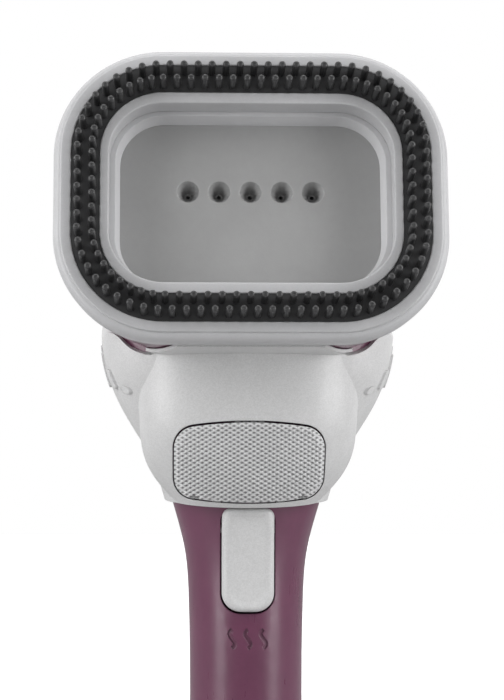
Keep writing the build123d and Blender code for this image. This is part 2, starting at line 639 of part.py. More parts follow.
# ------------------------------------------------------------------ water tank
TANK_BLOCK = block(-80, 80, TANK_FACE_Y, 80, TANK_LOW, TANK_HIGH)
water_tank = BODY & TANK_BLOCK
water_tank += rod_y(SPIGOT_RADIUS, TANK_FACE_Y - 6.5, TANK_FACE_Y + 1, 0, SPIGOT_HEIGHT)
inner = block(-80, 80, TANK_FACE_Y + TANK_WALL, 80, TANK_LOW + TANK_WALL, TANK_HIGH - TANK_WALL)
water_tank -= body_form(-TANK_WALL) & inner
water_tank -= rod_y(2.6, TANK_FACE_Y - 10, TANK_FACE_Y + 6, 0, SPIGOT_HEIGHT)
FILLER_HEIGHT = 218.0
FILLER_RADIUS = 6.5
FILLER_BACK = back_of_body(0, FILLER_HEIGHT) - 1.3  # spot face that the stopper's flange rests on
neck = rod_y(FILLER_RADIUS + 2, FILLER_BACK - 5, 90, 0, FILLER_HEIGHT) & body_form(-1.0)
water_tank += neck
water_tank -= rod_y(FILLER_RADIUS, FILLER_BACK - 9, 90, 0, FILLER_HEIGHT)
water_tank -= rod_y(FILLER_RADIUS + 2.6, FILLER_BACK, 90, 0, FILLER_HEIGHT)
save("water_tank", water_tank)
stopper = rod_y(FILLER_RADIUS - 2 * RUN, FILLER_BACK - 5, FILLER_BACK + 1, 0, FILLER_HEIGHT)
stopper += rod_y(FILLER_RADIUS + 2.2, FILLER_BACK + 2 * RUN, FILLER_BACK + 1.6, 0, FILLER_HEIGHT)
stopper += block(-4.5, 4.5, FILLER_BACK + 1, FILLER_BACK + 4.6, FILLER_HEIGHT - 1.1, FILLER_HEIGHT + 1.1)
save("tank_stopper", stopper)
valve = rod_y(2.6, TANK_FACE_Y - 6, TANK_FACE_Y - 1, 0, SPIGOT_HEIGHT)
valve -= block(-1.6, 1.6, TANK_FACE_Y - 8, TANK_FACE_Y - 2.5, SPIGOT_HEIGHT - 0.3, SPIGOT_HEIGHT + 0.3)
save("tank_valve", valve)

PORT_FRONT = TANK_FACE_Y - 9.6
intake_port = rod_y(SPIGOT_RADIUS + 2.6, PORT_FRONT, TANK_FACE_Y - GAP - 2.2, 0, SPIGOT_HEIGHT)
intake_port -= rod_y(SPIGOT_RADIUS + FIT, PORT_FRONT + 2, TANK_FACE_Y, 0, SPIGOT_HEIGHT)
intake_port -= rod_y(1.2, PORT_FRONT - 2, PORT_FRONT + 4, 0, SPIGOT_HEIGHT)
intake_port += rod_z(NIPPLE_RADIUS, SPIGOT_HEIGHT - 13, SPIGOT_HEIGHT - 6, 0, PORT_FRONT + 1.9)
intake_port -= rod_z(1.0, SPIGOT_HEIGHT - 14, SPIGOT_HEIGHT, 0, PORT_FRONT + 1.9)
save("intake_port", intake_port)

# ------------------------------------------------------------------ pump and hoses
pump_body = rod_z(PUMP_RADIUS, PUMP.Z, PUMP.Z + PUMP_LENGTH, PUMP.X, PUMP.Y)
pump_body += rod_z(5.0, PUMP.Z + PUMP_LENGTH - 1, PUMP.Z + PUMP_LENGTH + 2, PUMP.X, PUMP.Y)
pump_body -= rod_z(3.0 + RUN, PUMP.Z + 6, PUMP.Z + PUMP_LENGTH + 4, PUMP.X, PUMP.Y)
pump_body += rod_z(NIPPLE_RADIUS, PUMP.Z - 8, PUMP.Z + 1, PUMP.X, PUMP.Y)
PUMP_OUT = PUMP.Z + 14
pump_body += rod_x(NIPPLE_RADIUS, 10, PUMP.Y, PUMP_OUT, x=PUMP_RADIUS + 4)
save("pump_body", pump_body)
save("pump_piston", rod_z(3.0, PUMP.Z + 10, PUMP.Z + PUMP_LENGTH + 6, PUMP.X, PUMP.Y))

suction = [
    (0, PORT_FRONT + 1.9, SPIGOT_HEIGHT - 7),
    (0, PORT_FRONT + 1.9, SPIGOT_HEIGHT - 16),
    (0, 12, SPIGOT_HEIGHT - 26),
    (0, 12, 124),
    (0, 8, 115),
    (0, PUMP.Y, 115),
    (0, PUMP.Y, PUMP.Z - 1.5),
]
save("suction_hose", tube(suction, 3.6, HOSE_RADIUS, HOSE_WALL))

heater_inlet = head_plane(0).from_local_coords(Vector(24, -10, 0))
end = heater_inlet + HEAD_NORMAL * -36.0
before = heater_inlet + HEAD_NORMAL * -52.0
delivery = [
    (PUMP_RADIUS + 2, PUMP.Y, PUMP_OUT),
    (24, PUMP.Y, PUMP_OUT),
    (24, before.Y, 165),
    tuple(before),
    tuple(end),
]
save("delivery_hose", tube(delivery, 5.0, HOSE_RADIUS, HOSE_WALL))

# ------------------------------------------------------------------ steam head
W_FLOOR = -RECESS_DEPTH
PLATE_WIDTH = 104.0
PLATE_LENGTH = 73.0
PLATE_CORNER = 22.0
RECESS_WIDTH = 93.0
RECESS_LENGTH = 61.5
RECESS_CORNER = 18.0
STEP = -8.4
opening = slab(STEP, 0, RECESS_WIDTH + 3.8, RECESS_LENGTH + 3.8, RECESS_CORNER + 1.9)
throat_top = head_plane(STEP) * RectangleRounded(RECESS_WIDTH - 3.6, RECESS_LENGTH - 3.5, RECESS_CORNER - 1.8)
throat_end = head_plane(W_FLOOR) * RectangleRounded(
    RECESS_WIDTH - 2 * RECESS_DRAFT, RECESS_LENGTH - 2 * RECESS_DRAFT + 0.4, RECESS_CORNER - RECESS_DRAFT
)
throat = loft([throat_end, throat_top])
head_bezel = slab(W_FLOOR, -11, BELL_WIDTH, BELL_LENGTH, BELL_CORNER)
head_bezel += slab(-11, -5.4, FRAME_WIDTH - 8.6, FRAME_LENGTH - 8.6, FRAME_CORNER - 4.3)
skirt = slab(W_FLOOR - 6, W_FLOOR, BELL_WIDTH - 7.6, BELL_LENGTH - 7.6, BELL_CORNER - 3.8)
head_bezel += skirt - slab(W_FLOOR - 7, W_FLOOR, PLATE_WIDTH + 6, PLATE_LENGTH + 6, PLATE_CORNER + 3)
SCREW_SPREAD = (42.7, 27.2)
CORNERS = [(sx * SCREW_SPREAD[0], sy * SCREW_SPREAD[1]) for sx in (-1, 1) for sy in (-1, 1)]
for x, y in CORNERS:
    head_bezel -= stud(SCREW_RADIUS, W_FLOOR - 1, -8.0, x, y)
head_bezel -= opening + throat
save("head_bezel", head_bezel)

steam_plate = slab(W_FLOOR - PLATE_THICKNESS, W_FLOOR, PLATE_WIDTH, PLATE_LENGTH, PLATE_CORNER)
row = NOZZLE_PITCH * (NOZZLE_COUNT - 1)
boss_back = W_FLOOR - NOZZLE_DEPTH - 1.5
steam_plate += slab(boss_back, W_FLOOR - 1, row + 12, 12, 5.9, y=NOZZLE_RISE)
for number in range(NOZZLE_COUNT):
    x = number * NOZZLE_PITCH - row / 2
    cone_plane = head_plane(W_FLOOR + 0.02) * Pos(x, NOZZLE_RISE)
    mouth = cone_plane * Circle(NOZZLE_RADIUS)
    throat_hole = head_plane(W_FLOOR - NOZZLE_DEPTH) * Pos(x, NOZZLE_RISE) * Circle(NOZZLE_BORE + 0.5)
    steam_plate -= loft([throat_hole, mouth])
    steam_plate -= stud(NOZZLE_BORE, boss_back - 1, W_FLOOR, x, NOZZLE_RISE)
for x, y in CORNERS:
    steam_plate -= stud(SCREW_RADIUS, W_FLOOR - 9, W_FLOOR + 1, x, y)
save("steam_plate", steam_plate)

CHAMBER_WIDTH = PLATE_WIDTH - 16
CHAMBER_LENGTH = PLATE_LENGTH - 16
CHAMBER_CORNER = PLATE_CORNER - 8
SEAL_BACK = W_FLOOR - PLATE_THICKNESS - 1.5
HEATER_BACK = SEAL_BACK - 11.5
plate_seal = slab(SEAL_BACK, W_FLOOR - PLATE_THICKNESS, PLATE_WIDTH, PLATE_LENGTH, PLATE_CORNER)
plate_seal -= slab(SEAL_BACK - 1, W_FLOOR, CHAMBER_WIDTH, CHAMBER_LENGTH, CHAMBER_CORNER)
for x, y in CORNERS:
    plate_seal -= stud(SCREW_RADIUS, W_FLOOR - 9, W_FLOOR + 1, x, y)
save("plate_seal", plate_seal)

ELEMENT_RADIUS = 3.2
LEG = 16.0
face = head_plane(HEATER_BACK)
element_points = [
    face.from_local_coords(Vector(x, y, w))
    for x, y, w in (
        (34, LEG, -16),
        (34, LEG, 0),
        (-32, LEG, 0),
        (-32, -LEG, 0),
        (34, -LEG, 0),
        (34, -LEG, -16),
    )
]
heating_element = tube([tuple(p) for p in element_points], 7.0, ELEMENT_RADIUS)
heater_block = slab(HEATER_BACK, SEAL_BACK, PLATE_WIDTH, PLATE_LENGTH, PLATE_CORNER)
heater_block -= slab(SEAL_BACK - 6, SEAL_BACK + 1, CHAMBER_WIDTH, CHAMBER_LENGTH, CHAMBER_CORNER)
heater_block += stud(NIPPLE_RADIUS, HEATER_BACK - 9, HEATER_BACK + 1, 24, -10)
heater_block -= stud(1.0, HEATER_BACK - 10, SEAL_BACK, 24, -10)
heater_block -= heating_element
for x, y in CORNERS:
    heater_block -= stud(SCREW_RADIUS, HEATER_BACK - 1, SEAL_BACK + 1, x, y)
save("heater_block", heater_block)
save("heating_element", heating_element)

SHIELD_BACK = HEATER_BACK - 5
heat_shield = slab(SHIELD_BACK, W_FLOOR - 8, PLATE_WIDTH + 2, PLATE_LENGTH + 2, PLATE_CORNER + 1)
heat_shield -= slab(SHIELD_BACK + 1, W_FLOOR, PLATE_WIDTH, PLATE_LENGTH, PLATE_CORNER)
heat_shield -= stud(9.0, SHIELD_BACK - 1, W_FLOOR, 0, 4)
heat_shield -= stud(HOSE_RADIUS + 1, SHIELD_BACK - 1, W_FLOOR, 24, -10)
for y in (-LEG, LEG):
    heat_shield -= slab(SHIELD_BACK - 1, W_FLOOR, 18, ELEMENT_RADIUS * 2 + 2, 2.0, x=29, y=y)
save("heat_shield", heat_shield)
thermostat = stud(8.0, HEATER_BACK - 9, HEATER_BACK, 0, 4)
thermostat += stud(4.0, HEATER_BACK - 13, HEATER_BACK - 8, 0, 4)
save("thermostat", thermostat)
fuse_spot = face.from_local_coords(Vector(0, -8, -2))
thermal_fuse = Pos(*fuse_spot) * Rot(0, 90, 0) * Cylinder(2.0, 16)
save("thermal_fuse", thermal_fuse)
for number, (x, y) in enumerate(CORNERS, 1):
    screw = stud(SCREW_RADIUS, HEATER_BACK - 0.5, -9.0, x, y)
    screw += stud(SCREW_HEAD_RADIUS, HEATER_BACK - 2.2, HEATER_BACK, x, y)
    save(f"plate_screw_{number}", screw)

# ------------------------------------------------------------------ brush frame and bristles
SKIRT_BACK = -10.8
WEB_BACK = -5.0
SKIRT_WALL = 4.1  # from the frame's outline to the skirt's inner face
brush_frame = extrude(rounded(SKIRT_BACK, -0.7), -SKIRT_BACK - FRAME_EDGE)
dome = loft([rounded(-FRAME_EDGE, 0), rounded(-2.0, -0.7), rounded(-0.6, -1.8), rounded(0, -3.1)], ruled=True)
brush_frame += dome
brush_frame -= extrude(rounded(SKIRT_BACK - 1, -SKIRT_WALL), WEB_BACK - SKIRT_BACK + 1)
lip = slab(-8.0, WEB_BACK + 0.5, RECESS_WIDTH + 3, RECESS_LENGTH + 3, RECESS_CORNER + 1.5)
brush_frame += lip
brush_frame -= slab(-20, 5, RECESS_WIDTH, RECESS_LENGTH, RECESS_CORNER)
GROOVE = -0.4 - STRIP_THICKNESS
strip_zone = extrude(rounded(GROOVE, -STRIP_INSET), 10)
strip_zone -= extrude(rounded(GROOVE - 1, -STRIP_INSET - STRIP_WIDTH), 12)
brush_frame -= strip_zone
save("brush_frame", brush_frame)

save("bristle_strip", strip_zone & extrude(rounded(GROOVE, 0), STRIP_THICKNESS))

OUTER_ROW = STRIP_INSET + 2.4  # from the frame's outline to the outer row of bristles
row_outline = RectangleRounded(
    FRAME_WIDTH - 2 * OUTER_ROW, FRAME_LENGTH - 2 * OUTER_ROW, FRAME_CORNER - OUTER_ROW
).wire()
BRISTLES = round(row_outline.length / BRISTLE_PITCH)
STRIP_TOP = GROOVE + STRIP_THICKNESS
bristles = []
for number in range(BRISTLES):
    for shift, drop in ((0.0, 0.0), (0.5, BRISTLE_ROWS)):
        share = ((number + shift) / BRISTLES) % 1.0
        spot = row_outline @ share
        run = row_outline % share
        inward = Vector(-run.Y, run.X, 0)
        if inward.dot(spot) > 0:
            inward = inward * -1
        spot = spot + inward * drop
        bristles.append(stud(BRISTLE_RADIUS, STRIP_TOP, STRIP_TOP + BRISTLE_LENGTH, spot.X, spot.Y))
save("bristles", Compound(children=bristles))
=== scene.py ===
import json
import math

import bmesh
import bpy
from mathutils import Matrix, Vector


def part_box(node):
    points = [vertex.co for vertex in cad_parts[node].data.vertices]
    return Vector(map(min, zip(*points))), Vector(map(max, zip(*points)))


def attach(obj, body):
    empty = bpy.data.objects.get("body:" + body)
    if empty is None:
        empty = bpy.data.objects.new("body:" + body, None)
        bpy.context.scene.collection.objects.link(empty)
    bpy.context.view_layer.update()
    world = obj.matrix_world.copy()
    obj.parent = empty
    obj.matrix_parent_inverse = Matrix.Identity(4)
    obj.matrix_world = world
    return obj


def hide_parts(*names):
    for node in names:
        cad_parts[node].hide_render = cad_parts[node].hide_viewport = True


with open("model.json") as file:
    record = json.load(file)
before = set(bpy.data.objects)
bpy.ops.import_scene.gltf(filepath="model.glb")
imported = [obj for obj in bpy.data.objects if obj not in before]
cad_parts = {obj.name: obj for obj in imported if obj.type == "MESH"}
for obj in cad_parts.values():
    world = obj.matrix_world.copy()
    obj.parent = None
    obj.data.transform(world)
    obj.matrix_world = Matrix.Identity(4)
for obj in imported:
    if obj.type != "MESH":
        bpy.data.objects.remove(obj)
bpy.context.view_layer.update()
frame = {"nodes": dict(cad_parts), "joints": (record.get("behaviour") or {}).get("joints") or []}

# ---------------------------------------------------------------- the studio
# A pale floor in a white room that is dim in front, two tall soft boxes at the sides and one
# above, and a long lens level with the middle of the steamer, a little to its left.
MM = 0.001
NODES = frame["nodes"]
AXES = {joint["name"]: Vector(joint["axis"]) for joint in frame["joints"]}
HEAD_NORMAL = AXES["brush_pull"].normalized()
HEAD_UP = HEAD_NORMAL.cross(Vector((1, 0, 0)))
SEAL_MIDDLE = 17.75 * MM  # depth of the plate seal's middle behind the head's face
seal_low, seal_high = (Vector(corner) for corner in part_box("plate_seal"))
HEAD_CENTRE = (seal_low + seal_high) / 2 + HEAD_NORMAL * SEAL_MIDDLE

LENS_TURN = math.radians(-2.05)
LENS_REACH = 620 * MM
LENS_HEIGHT = 135 * MM
LENS_LENGTH = 98.1  # millimetres, as lenses are named
LENS_SHIFT = 0.186

camera_data = bpy.data.cameras.new("studio_lens")
camera_data.lens = LENS_LENGTH
camera_data.sensor_width = 36
camera_data.shift_y = LENS_SHIFT
camera_data.clip_start = 0.05
camera = bpy.data.objects.new("studio_lens", camera_data)
bpy.context.collection.objects.link(camera)
look_at = Vector((0, HEAD_CENTRE.y, LENS_HEIGHT))
camera.location = look_at + Vector((math.sin(LENS_TURN), -math.cos(LENS_TURN), 0)) * LENS_REACH
camera.rotation_euler = (math.radians(90), 0, LENS_TURN)
bpy.context.scene.camera = camera
bpy.context.scene.view_settings.view_transform = "Standard"

ROOM_FRONT = 0.16  # brightness of the room behind the lens
ROOM_SIDE = 0.85
ROOM_BACK = 0.9  # and of the room behind the steamer
SIDE_SHARE = 0.42  # where the side walls lie on the way from front to back
room = bpy.data.worlds.new("white_room")
bpy.context.scene.world = room
room.use_nodes = True
tree = room.node_tree
lit = tree.nodes["Background"]
direction = tree.nodes.new("ShaderNodeTexCoord")
parts_of = tree.nodes.new("ShaderNodeSeparateXYZ")
walls = tree.nodes.new("ShaderNodeValToRGB")
toward = tree.nodes.new("ShaderNodeMapRange")
toward.inputs["From Min"].default_value = -1.0
walls.color_ramp.elements[0].color = (ROOM_FRONT, ROOM_FRONT, ROOM_FRONT, 1)
walls.color_ramp.elements[1].color = (ROOM_BACK, ROOM_BACK, ROOM_BACK, 1)
side_wall = walls.color_ramp.elements.new(SIDE_SHARE)
side_wall.color = (ROOM_SIDE, ROOM_SIDE, ROOM_SIDE, 1)
tree.links.new(direction.outputs["Generated"], parts_of.inputs["Vector"])
tree.links.new(parts_of.outputs["Y"], toward.inputs["Value"])
tree.links.new(toward.outputs["Result"], walls.inputs["Fac"])
tree.links.new(walls.outputs["Color"], lit.inputs["Color"])
seen = tree.nodes.new("ShaderNodeBackground")
seen.inputs["Color"].default_value = (1, 1, 1, 1)
ray = tree.nodes.new("ShaderNodeLightPath")
either = tree.nodes.new("ShaderNodeMixShader")
tree.links.new(ray.outputs["Is Camera Ray"], either.inputs["Fac"])
tree.links.new(lit.outputs["Background"], either.inputs[1])
tree.links.new(seen.outputs["Background"], either.inputs[2])
tree.links.new(either.outputs["Shader"], tree.nodes["World Output"].inputs["Surface"])


def soft_box(name, place, aim, width, height, power):
    """A large flat lamp at a place, turned to aim at a point."""
    lamp = bpy.data.lights.new(name, "AREA")
    lamp.shape = "RECTANGLE"
    lamp.size = width
    lamp.size_y = height
    lamp.energy = power
    holder = bpy.data.objects.new(name, lamp)
    bpy.context.collection.objects.link(holder)
    holder.location = place
    holder.rotation_euler = (Vector(aim) - Vector(place)).to_track_quat("-Z", "Y").to_euler()


AIM = (0, -0.03, 0.17)
SIDE_BOX = (0.35, 0.9, 6.4)  # width, height and power
TOP_BOX = (1.0, 0.7, 5)
soft_box("left_soft_box", (-0.70, -0.42, 0.34), AIM, *SIDE_BOX)
soft_box("right_soft_box", (0.70, -0.42, 0.34), AIM, *SIDE_BOX)
soft_box("top_soft_box", (0, -0.10, 1.25), AIM, *TOP_BOX)

FLOOR_SIZE = 8
FLOOR_DROP = 0.2 * MM  # the floor lies this far under the base, so the two never flicker
FLOOR_GLOW = 0.55
FLOOR_BOUNCE = 0.42  # how much of the light that falls on it the floor gives back
bpy.ops.object.select_all(action="DESELECT")
bpy.ops.mesh.primitive_plane_add(size=FLOOR_SIZE, location=(0, 0, -FLOOR_DROP))
floor = bpy.context.object
floor.name = "floor"
floor_paint = bpy.data.materials.new("floor_paint")
floor_paint.use_nodes = True
floor_shader = floor_paint.node_tree.nodes["Principled BSDF"]
floor_shader.inputs["Base Color"].default_value = (0.93, 0.93, 0.93, 1)
floor_shader.inputs["Roughness"].default_value = 0.7
floor_shader.inputs["Emission Color"].default_value = (1, 1, 1, 1)
floor_shader.inputs["Emission Strength"].default_value = FLOOR_GLOW
floor_tree = floor_paint.node_tree
matt = floor_tree.nodes.new("ShaderNodeBsdfDiffuse")
matt.inputs["Color"].default_value = (FLOOR_BOUNCE, FLOOR_BOUNCE, FLOOR_BOUNCE, 1)
floor_ray = floor_tree.nodes.new("ShaderNodeLightPath")
floor_mix = floor_tree.nodes.new("ShaderNodeMixShader")
floor_tree.links.new(floor_ray.outputs["Is Camera Ray"], floor_mix.inputs["Fac"])
floor_tree.links.new(matt.outputs["BSDF"], floor_mix.inputs[1])
floor_tree.links.new(floor_shader.outputs["BSDF"], floor_mix.inputs[2])
floor_end = floor_tree.nodes["Material Output"]
floor_tree.links.new(floor_mix.outputs["Shader"], floor_end.inputs["Surface"])
floor.data.materials.append(floor_paint)


# ---------------------------------------------------------------- front and rear housing, base cap
# Two glossy plum shells, moulded and screwed together from behind, with the cap of their foot and
# the tank's cradle. They carry a faint flow mottle, wipe marks and edges softened by handling.
def new_group(name, inputs, outputs):
    """An empty shader node group with named number, colour or vector sockets."""
    group = bpy.data.node_groups.new(name, "ShaderNodeTree")
    kinds = {"number": "NodeSocketFloat", "colour": "NodeSocketColor", "vector": "NodeSocketVector"}
    for label, kind in inputs:
        group.interface.new_socket(label, in_out="INPUT", socket_type=kinds[kind])
    for label, kind in outputs:
        group.interface.new_socket(label, in_out="OUTPUT", socket_type=kinds[kind])
    return group, group.nodes.new("NodeGroupInput"), group.nodes.new("NodeGroupOutput")


def wire(tree, *pairs):
    """Links each pair of sockets."""
    for source, target in pairs:
        tree.links.new(source, target)


def math_node(tree, operation, *values):
    """A Math node whose inputs are sockets or numbers; gives its output socket."""
    node = tree.nodes.new("ShaderNodeMath")
    node.operation = operation
    for slot, value in enumerate(values):
        if isinstance(value, (int, float)):
            node.inputs[slot].default_value = value
        else:
            tree.links.new(value, node.inputs[slot])
    return node.outputs["Value"]


def cloud(tree, place, scale, detail=4.0, rough=0.55):
    """A Noise texture at a scale, which may be a socket; gives its value socket."""
    noise = tree.nodes.new("ShaderNodeTexNoise")
    noise.inputs["Detail"].default_value = detail
    noise.inputs["Roughness"].default_value = rough
    if isinstance(scale, (int, float)):
        noise.inputs["Scale"].default_value = scale
    else:
        tree.links.new(scale, noise.inputs["Scale"])
    tree.links.new(place, noise.inputs["Vector"])
    return noise.outputs["Fac"]


def blend_colours(tree, share, first, second):
    """A colour mix; gives its output socket."""
    mix = tree.nodes.new("ShaderNodeMix")
    mix.data_type = "RGBA"
    wire(tree, (share, mix.inputs["Factor"]), (first, mix.inputs[6]), (second, mix.inputs[7]))
    return mix.outputs[2]


# mottle: a slow drift between two shades, broken up by a finer one
group, given, result = new_group(
    "mottle",
    (("Light", "colour"), ("Dark", "colour"), ("Scale", "number"), ("Place", "vector")),
    (("Color", "colour"), ("Mask", "number")),
)
slow = cloud(group, given.outputs["Place"], given.outputs["Scale"], 3.0)
fine_scale = math_node(group, "MULTIPLY", given.outputs["Scale"], 9.0)
fine = cloud(group, given.outputs["Place"], fine_scale, 5.0, 0.65)
both = math_node(group, "MULTIPLY_ADD", fine, 0.35, math_node(group, "MULTIPLY", slow, 0.65))
share = group.nodes.new("ShaderNodeMapRange")
share.inputs["From Min"].default_value = 0.36
share.inputs["From Max"].default_value = 0.64
wire(group, (both, share.inputs["Value"]), (share.outputs["Result"], result.inputs["Mask"]))
mottled = blend_colours(group, share.outputs["Result"], given.outputs["Dark"], given.outputs["Light"])
wire(group, (mottled, result.inputs["Color"]))

EDGE_ROUND = 0.5 * MM
# edge_softening: a normal rounded over sharp edges, and a mask of those edges broken by noise
group, given, result = new_group(
    "edge_softening",
    (("Breakup", "number"), ("Place", "vector")),
    (("Normal", "vector"), ("Mask", "number")),
)
rounding = group.nodes.new("ShaderNodeBevel")
rounding.samples = 4
rounding.inputs["Radius"].default_value = EDGE_ROUND
surface = group.nodes.new("ShaderNodeNewGeometry")
turned = group.nodes.new("ShaderNodeVectorMath")
turned.operation = "DOT_PRODUCT"
wire(
    group,
    (rounding.outputs["Normal"], turned.inputs[0]),
    (surface.outputs["Normal"], turned.inputs[1]),
    (rounding.outputs["Normal"], result.inputs["Normal"]),
)
bend = math_node(group, "MULTIPLY", math_node(group, "SUBTRACT", 1.0, turned.outputs["Value"]), 6.0)
patches = cloud(group, given.outputs["Place"], given.outputs["Breakup"], 6.0, 0.7)
patches = math_node(group, "MULTIPLY", math_node(group, "SUBTRACT", patches, 0.4), 4.0)
edge = math_node(group, "MULTIPLY", bend, patches)
edge.node.use_clamp = True
wire(group, (edge, result.inputs["Mask"]))

# wipe_marks: long fine streaks and finger smudges for the gloss of a surface
group, given, result = new_group(
    "wipe_marks",
    (("Low", "number"), ("High", "number"), ("Scale", "number"), ("Place", "vector")),
    (("Roughness", "number"), ("Mask", "number")),
)
stretch = group.nodes.new("ShaderNodeMapping")
stretch.inputs["Scale"].default_value = (1.0, 1.0, 0.12)
stretch.inputs["Rotation"].default_value = (0.25, 0.1, 0.4)
wire(group, (given.outputs["Place"], stretch.inputs["Vector"]))
streak_scale = math_node(group, "MULTIPLY", given.outputs["Scale"], 14.0)
streaks = cloud(group, stretch.outputs["Vector"], streak_scale, 6.0, 0.7)
smudges = cloud(group, given.outputs["Place"], given.outputs["Scale"], 3.0)
wiped = math_node(group, "MULTIPLY_ADD", streaks, 0.4, math_node(group, "MULTIPLY", smudges, 0.6))
span = group.nodes.new("ShaderNodeMapRange")
span.inputs["From Min"].default_value = 0.33
span.inputs["From Max"].default_value = 0.67
wire(
    group,
    (wiped, span.inputs["Value"]),
    (given.outputs["Low"], span.inputs["To Min"]),
    (given.outputs["High"], span.inputs["To Max"]),
    (span.outputs["Result"], result.inputs["Roughness"]),
    (wiped, result.inputs["Mask"]),
)

# mould_grain: height of a spark-eroded mould's fine pits over a gentle waviness
group, given, result = new_group(
    "mould_grain",
    (("Scale", "number"), ("Waviness", "number"), ("Place", "vector")),
    (("Height", "number"),),
)
pits = group.nodes.new("ShaderNodeTexVoronoi")
pits.feature = "SMOOTH_F1"
wire(
    group,
    (given.outputs["Place"], pits.inputs["Vector"]),
    (given.outputs["Scale"], pits.inputs["Scale"]),
)
half_scale = math_node(group, "MULTIPLY", given.outputs["Scale"], 0.45)
lumps = cloud(group, given.outputs["Place"], half_scale, 5.0, 0.6)
WAVE_SCALE = 60.0
waves = cloud(group, given.outputs["Place"], WAVE_SCALE, 1.0)
waves = math_node(group, "MULTIPLY", waves, given.outputs["Waviness"])
grain = math_node(group, "MULTIPLY_ADD", pits.outputs["Distance"], 0.6, lumps)
wire(group, (math_node(group, "ADD", grain, waves), result.inputs["Height"]))


def place_group(tree, name, place, **values):
    """A node of a group in a material, read at a place, with its own values."""
    node = tree.nodes.new("ShaderNodeGroup")
    node.node_tree = bpy.data.node_groups[name]
    tree.links.new(place, node.inputs["Place"])
    for label, value in values.items():
        node.inputs[label].default_value = value
    return node


def blank_material(name):
    """A material with its Principled shader and the Object coordinates."""
    material = bpy.data.materials.new(name)
    material.use_nodes = True
    tree = material.node_tree
    place = tree.nodes.new("ShaderNodeTexCoord").outputs["Object"]
    return material, tree, tree.nodes["Principled BSDF"], place


MOTTLE_SCALE = 38.0
WIPE_SCALE = 45.0
WEAR_BREAKUP = 420.0
WORN_DULLNESS = 0.2  # how much rougher a worn edge is


def moulded(name, light, dark, gloss, grain, depth, worn, wear=0.35, waviness=0.0, sheen=0.5):
    """A moulded finish: two shades, low and high roughness, pits, and the colour of worn edges."""
    material, tree, shader, place = blank_material(name)
    shader.inputs["Specular IOR Level"].default_value = sheen
    shades = place_group(
        tree, "mottle", place, Light=(*light, 1), Dark=(*dark, 1), Scale=MOTTLE_SCALE
    )
    marks = place_group(tree, "wipe_marks", place, Low=gloss[0], High=gloss[1], Scale=WIPE_SCALE)
    edges = place_group(tree, "edge_softening", place, Breakup=WEAR_BREAKUP)
    pits = place_group(tree, "mould_grain", place, Scale=grain, Waviness=waviness)
    worn_colour = tree.nodes.new("ShaderNodeRGB")
    worn_colour.outputs[0].default_value = (*worn, 1)
    rubbed = math_node(tree, "MULTIPLY", edges.outputs["Mask"], wear)
    colour = blend_colours(tree, rubbed, shades.outputs["Color"], worn_colour.outputs[0])
    rough = math_node(tree, "MULTIPLY_ADD", rubbed, WORN_DULLNESS, marks.outputs["Roughness"])
    bump = tree.nodes.new("ShaderNodeBump")
    bump.inputs["Strength"].default_value = 1.0
    bump.inputs["Distance"].default_value = depth
    wire(
        tree,
        (colour, shader.inputs["Base Color"]),
        (rough, shader.inputs["Roughness"]),
        (pits.outputs["Height"], bump.inputs["Height"]),
        (edges.outputs["Normal"], bump.inputs["Normal"]),
        (bump.outputs["Normal"], shader.inputs["Normal"]),
    )
    return material


def wear_on(material, *names):
    """Gives CAD nodes a material."""
    for name in names:
        slots = NODES[name].data.materials
        slots.clear()
        slots.append(material)


plum = moulded(
    "plum_shell", (0.118, 0.030, 0.068), (0.096, 0.024, 0.056), (0.24, 0.36), 2600.0, 0.004 * MM,
    (0.17, 0.06, 0.11), waviness=0.4,
)
plum.node_tree.nodes["Principled BSDF"].inputs["Coat Weight"].default_value = 0.15
wear_on(plum, "front_housing", "rear_housing", "base_cap", "tank_cradle")

# ---------------------------------------------------------------- collar
# The light grey collar that wraps the neck under the steam head, with wings, raised ribs and a
# tongue. One satin painted moulding, clipped over the plum shells; its paint carries fine flakes.
SATIN_LIGHT = (0.52, 0.52, 0.522)
SATIN_DARK = (0.48, 0.48, 0.482)
satin = moulded(
    "satin_collar", SATIN_LIGHT, SATIN_DARK, (0.30, 0.42), 3400.0, 0.010 * MM, (0.68, 0.68, 0.68)
)


def add_flakes(material, size, strength):
    """Sprinkles fine bright and dark flakes over a material's colour."""
    tree = material.node_tree
    shader = tree.nodes["Principled BSDF"]
    place = tree.nodes["Texture Coordinate"].outputs["Object"]
    flakes = tree.nodes.new("ShaderNodeTexVoronoi")
    flakes.inputs["Scale"].default_value = size
    tone = tree.nodes.new("ShaderNodeSeparateColor")
    shift = tree.nodes.new("ShaderNodeHueSaturation")
    base = shader.inputs["Base Color"].links[0].from_socket
    bright = math_node(tree, "SUBTRACT", tone.outputs["Red"], 0.5)
    wire(
        tree,
        (place, flakes.inputs["Vector"]),
        (flakes.outputs["Color"], tone.inputs["Color"]),
        (math_node(tree, "MULTIPLY_ADD", bright, strength, 1.0), shift.inputs["Value"]),
        (base, shift.inputs["Color"]),
        (shift.outputs["Color"], shader.inputs["Base Color"]),
    )


add_flakes(satin, 3000.0, 0.14)
wear_on(satin, "collar")

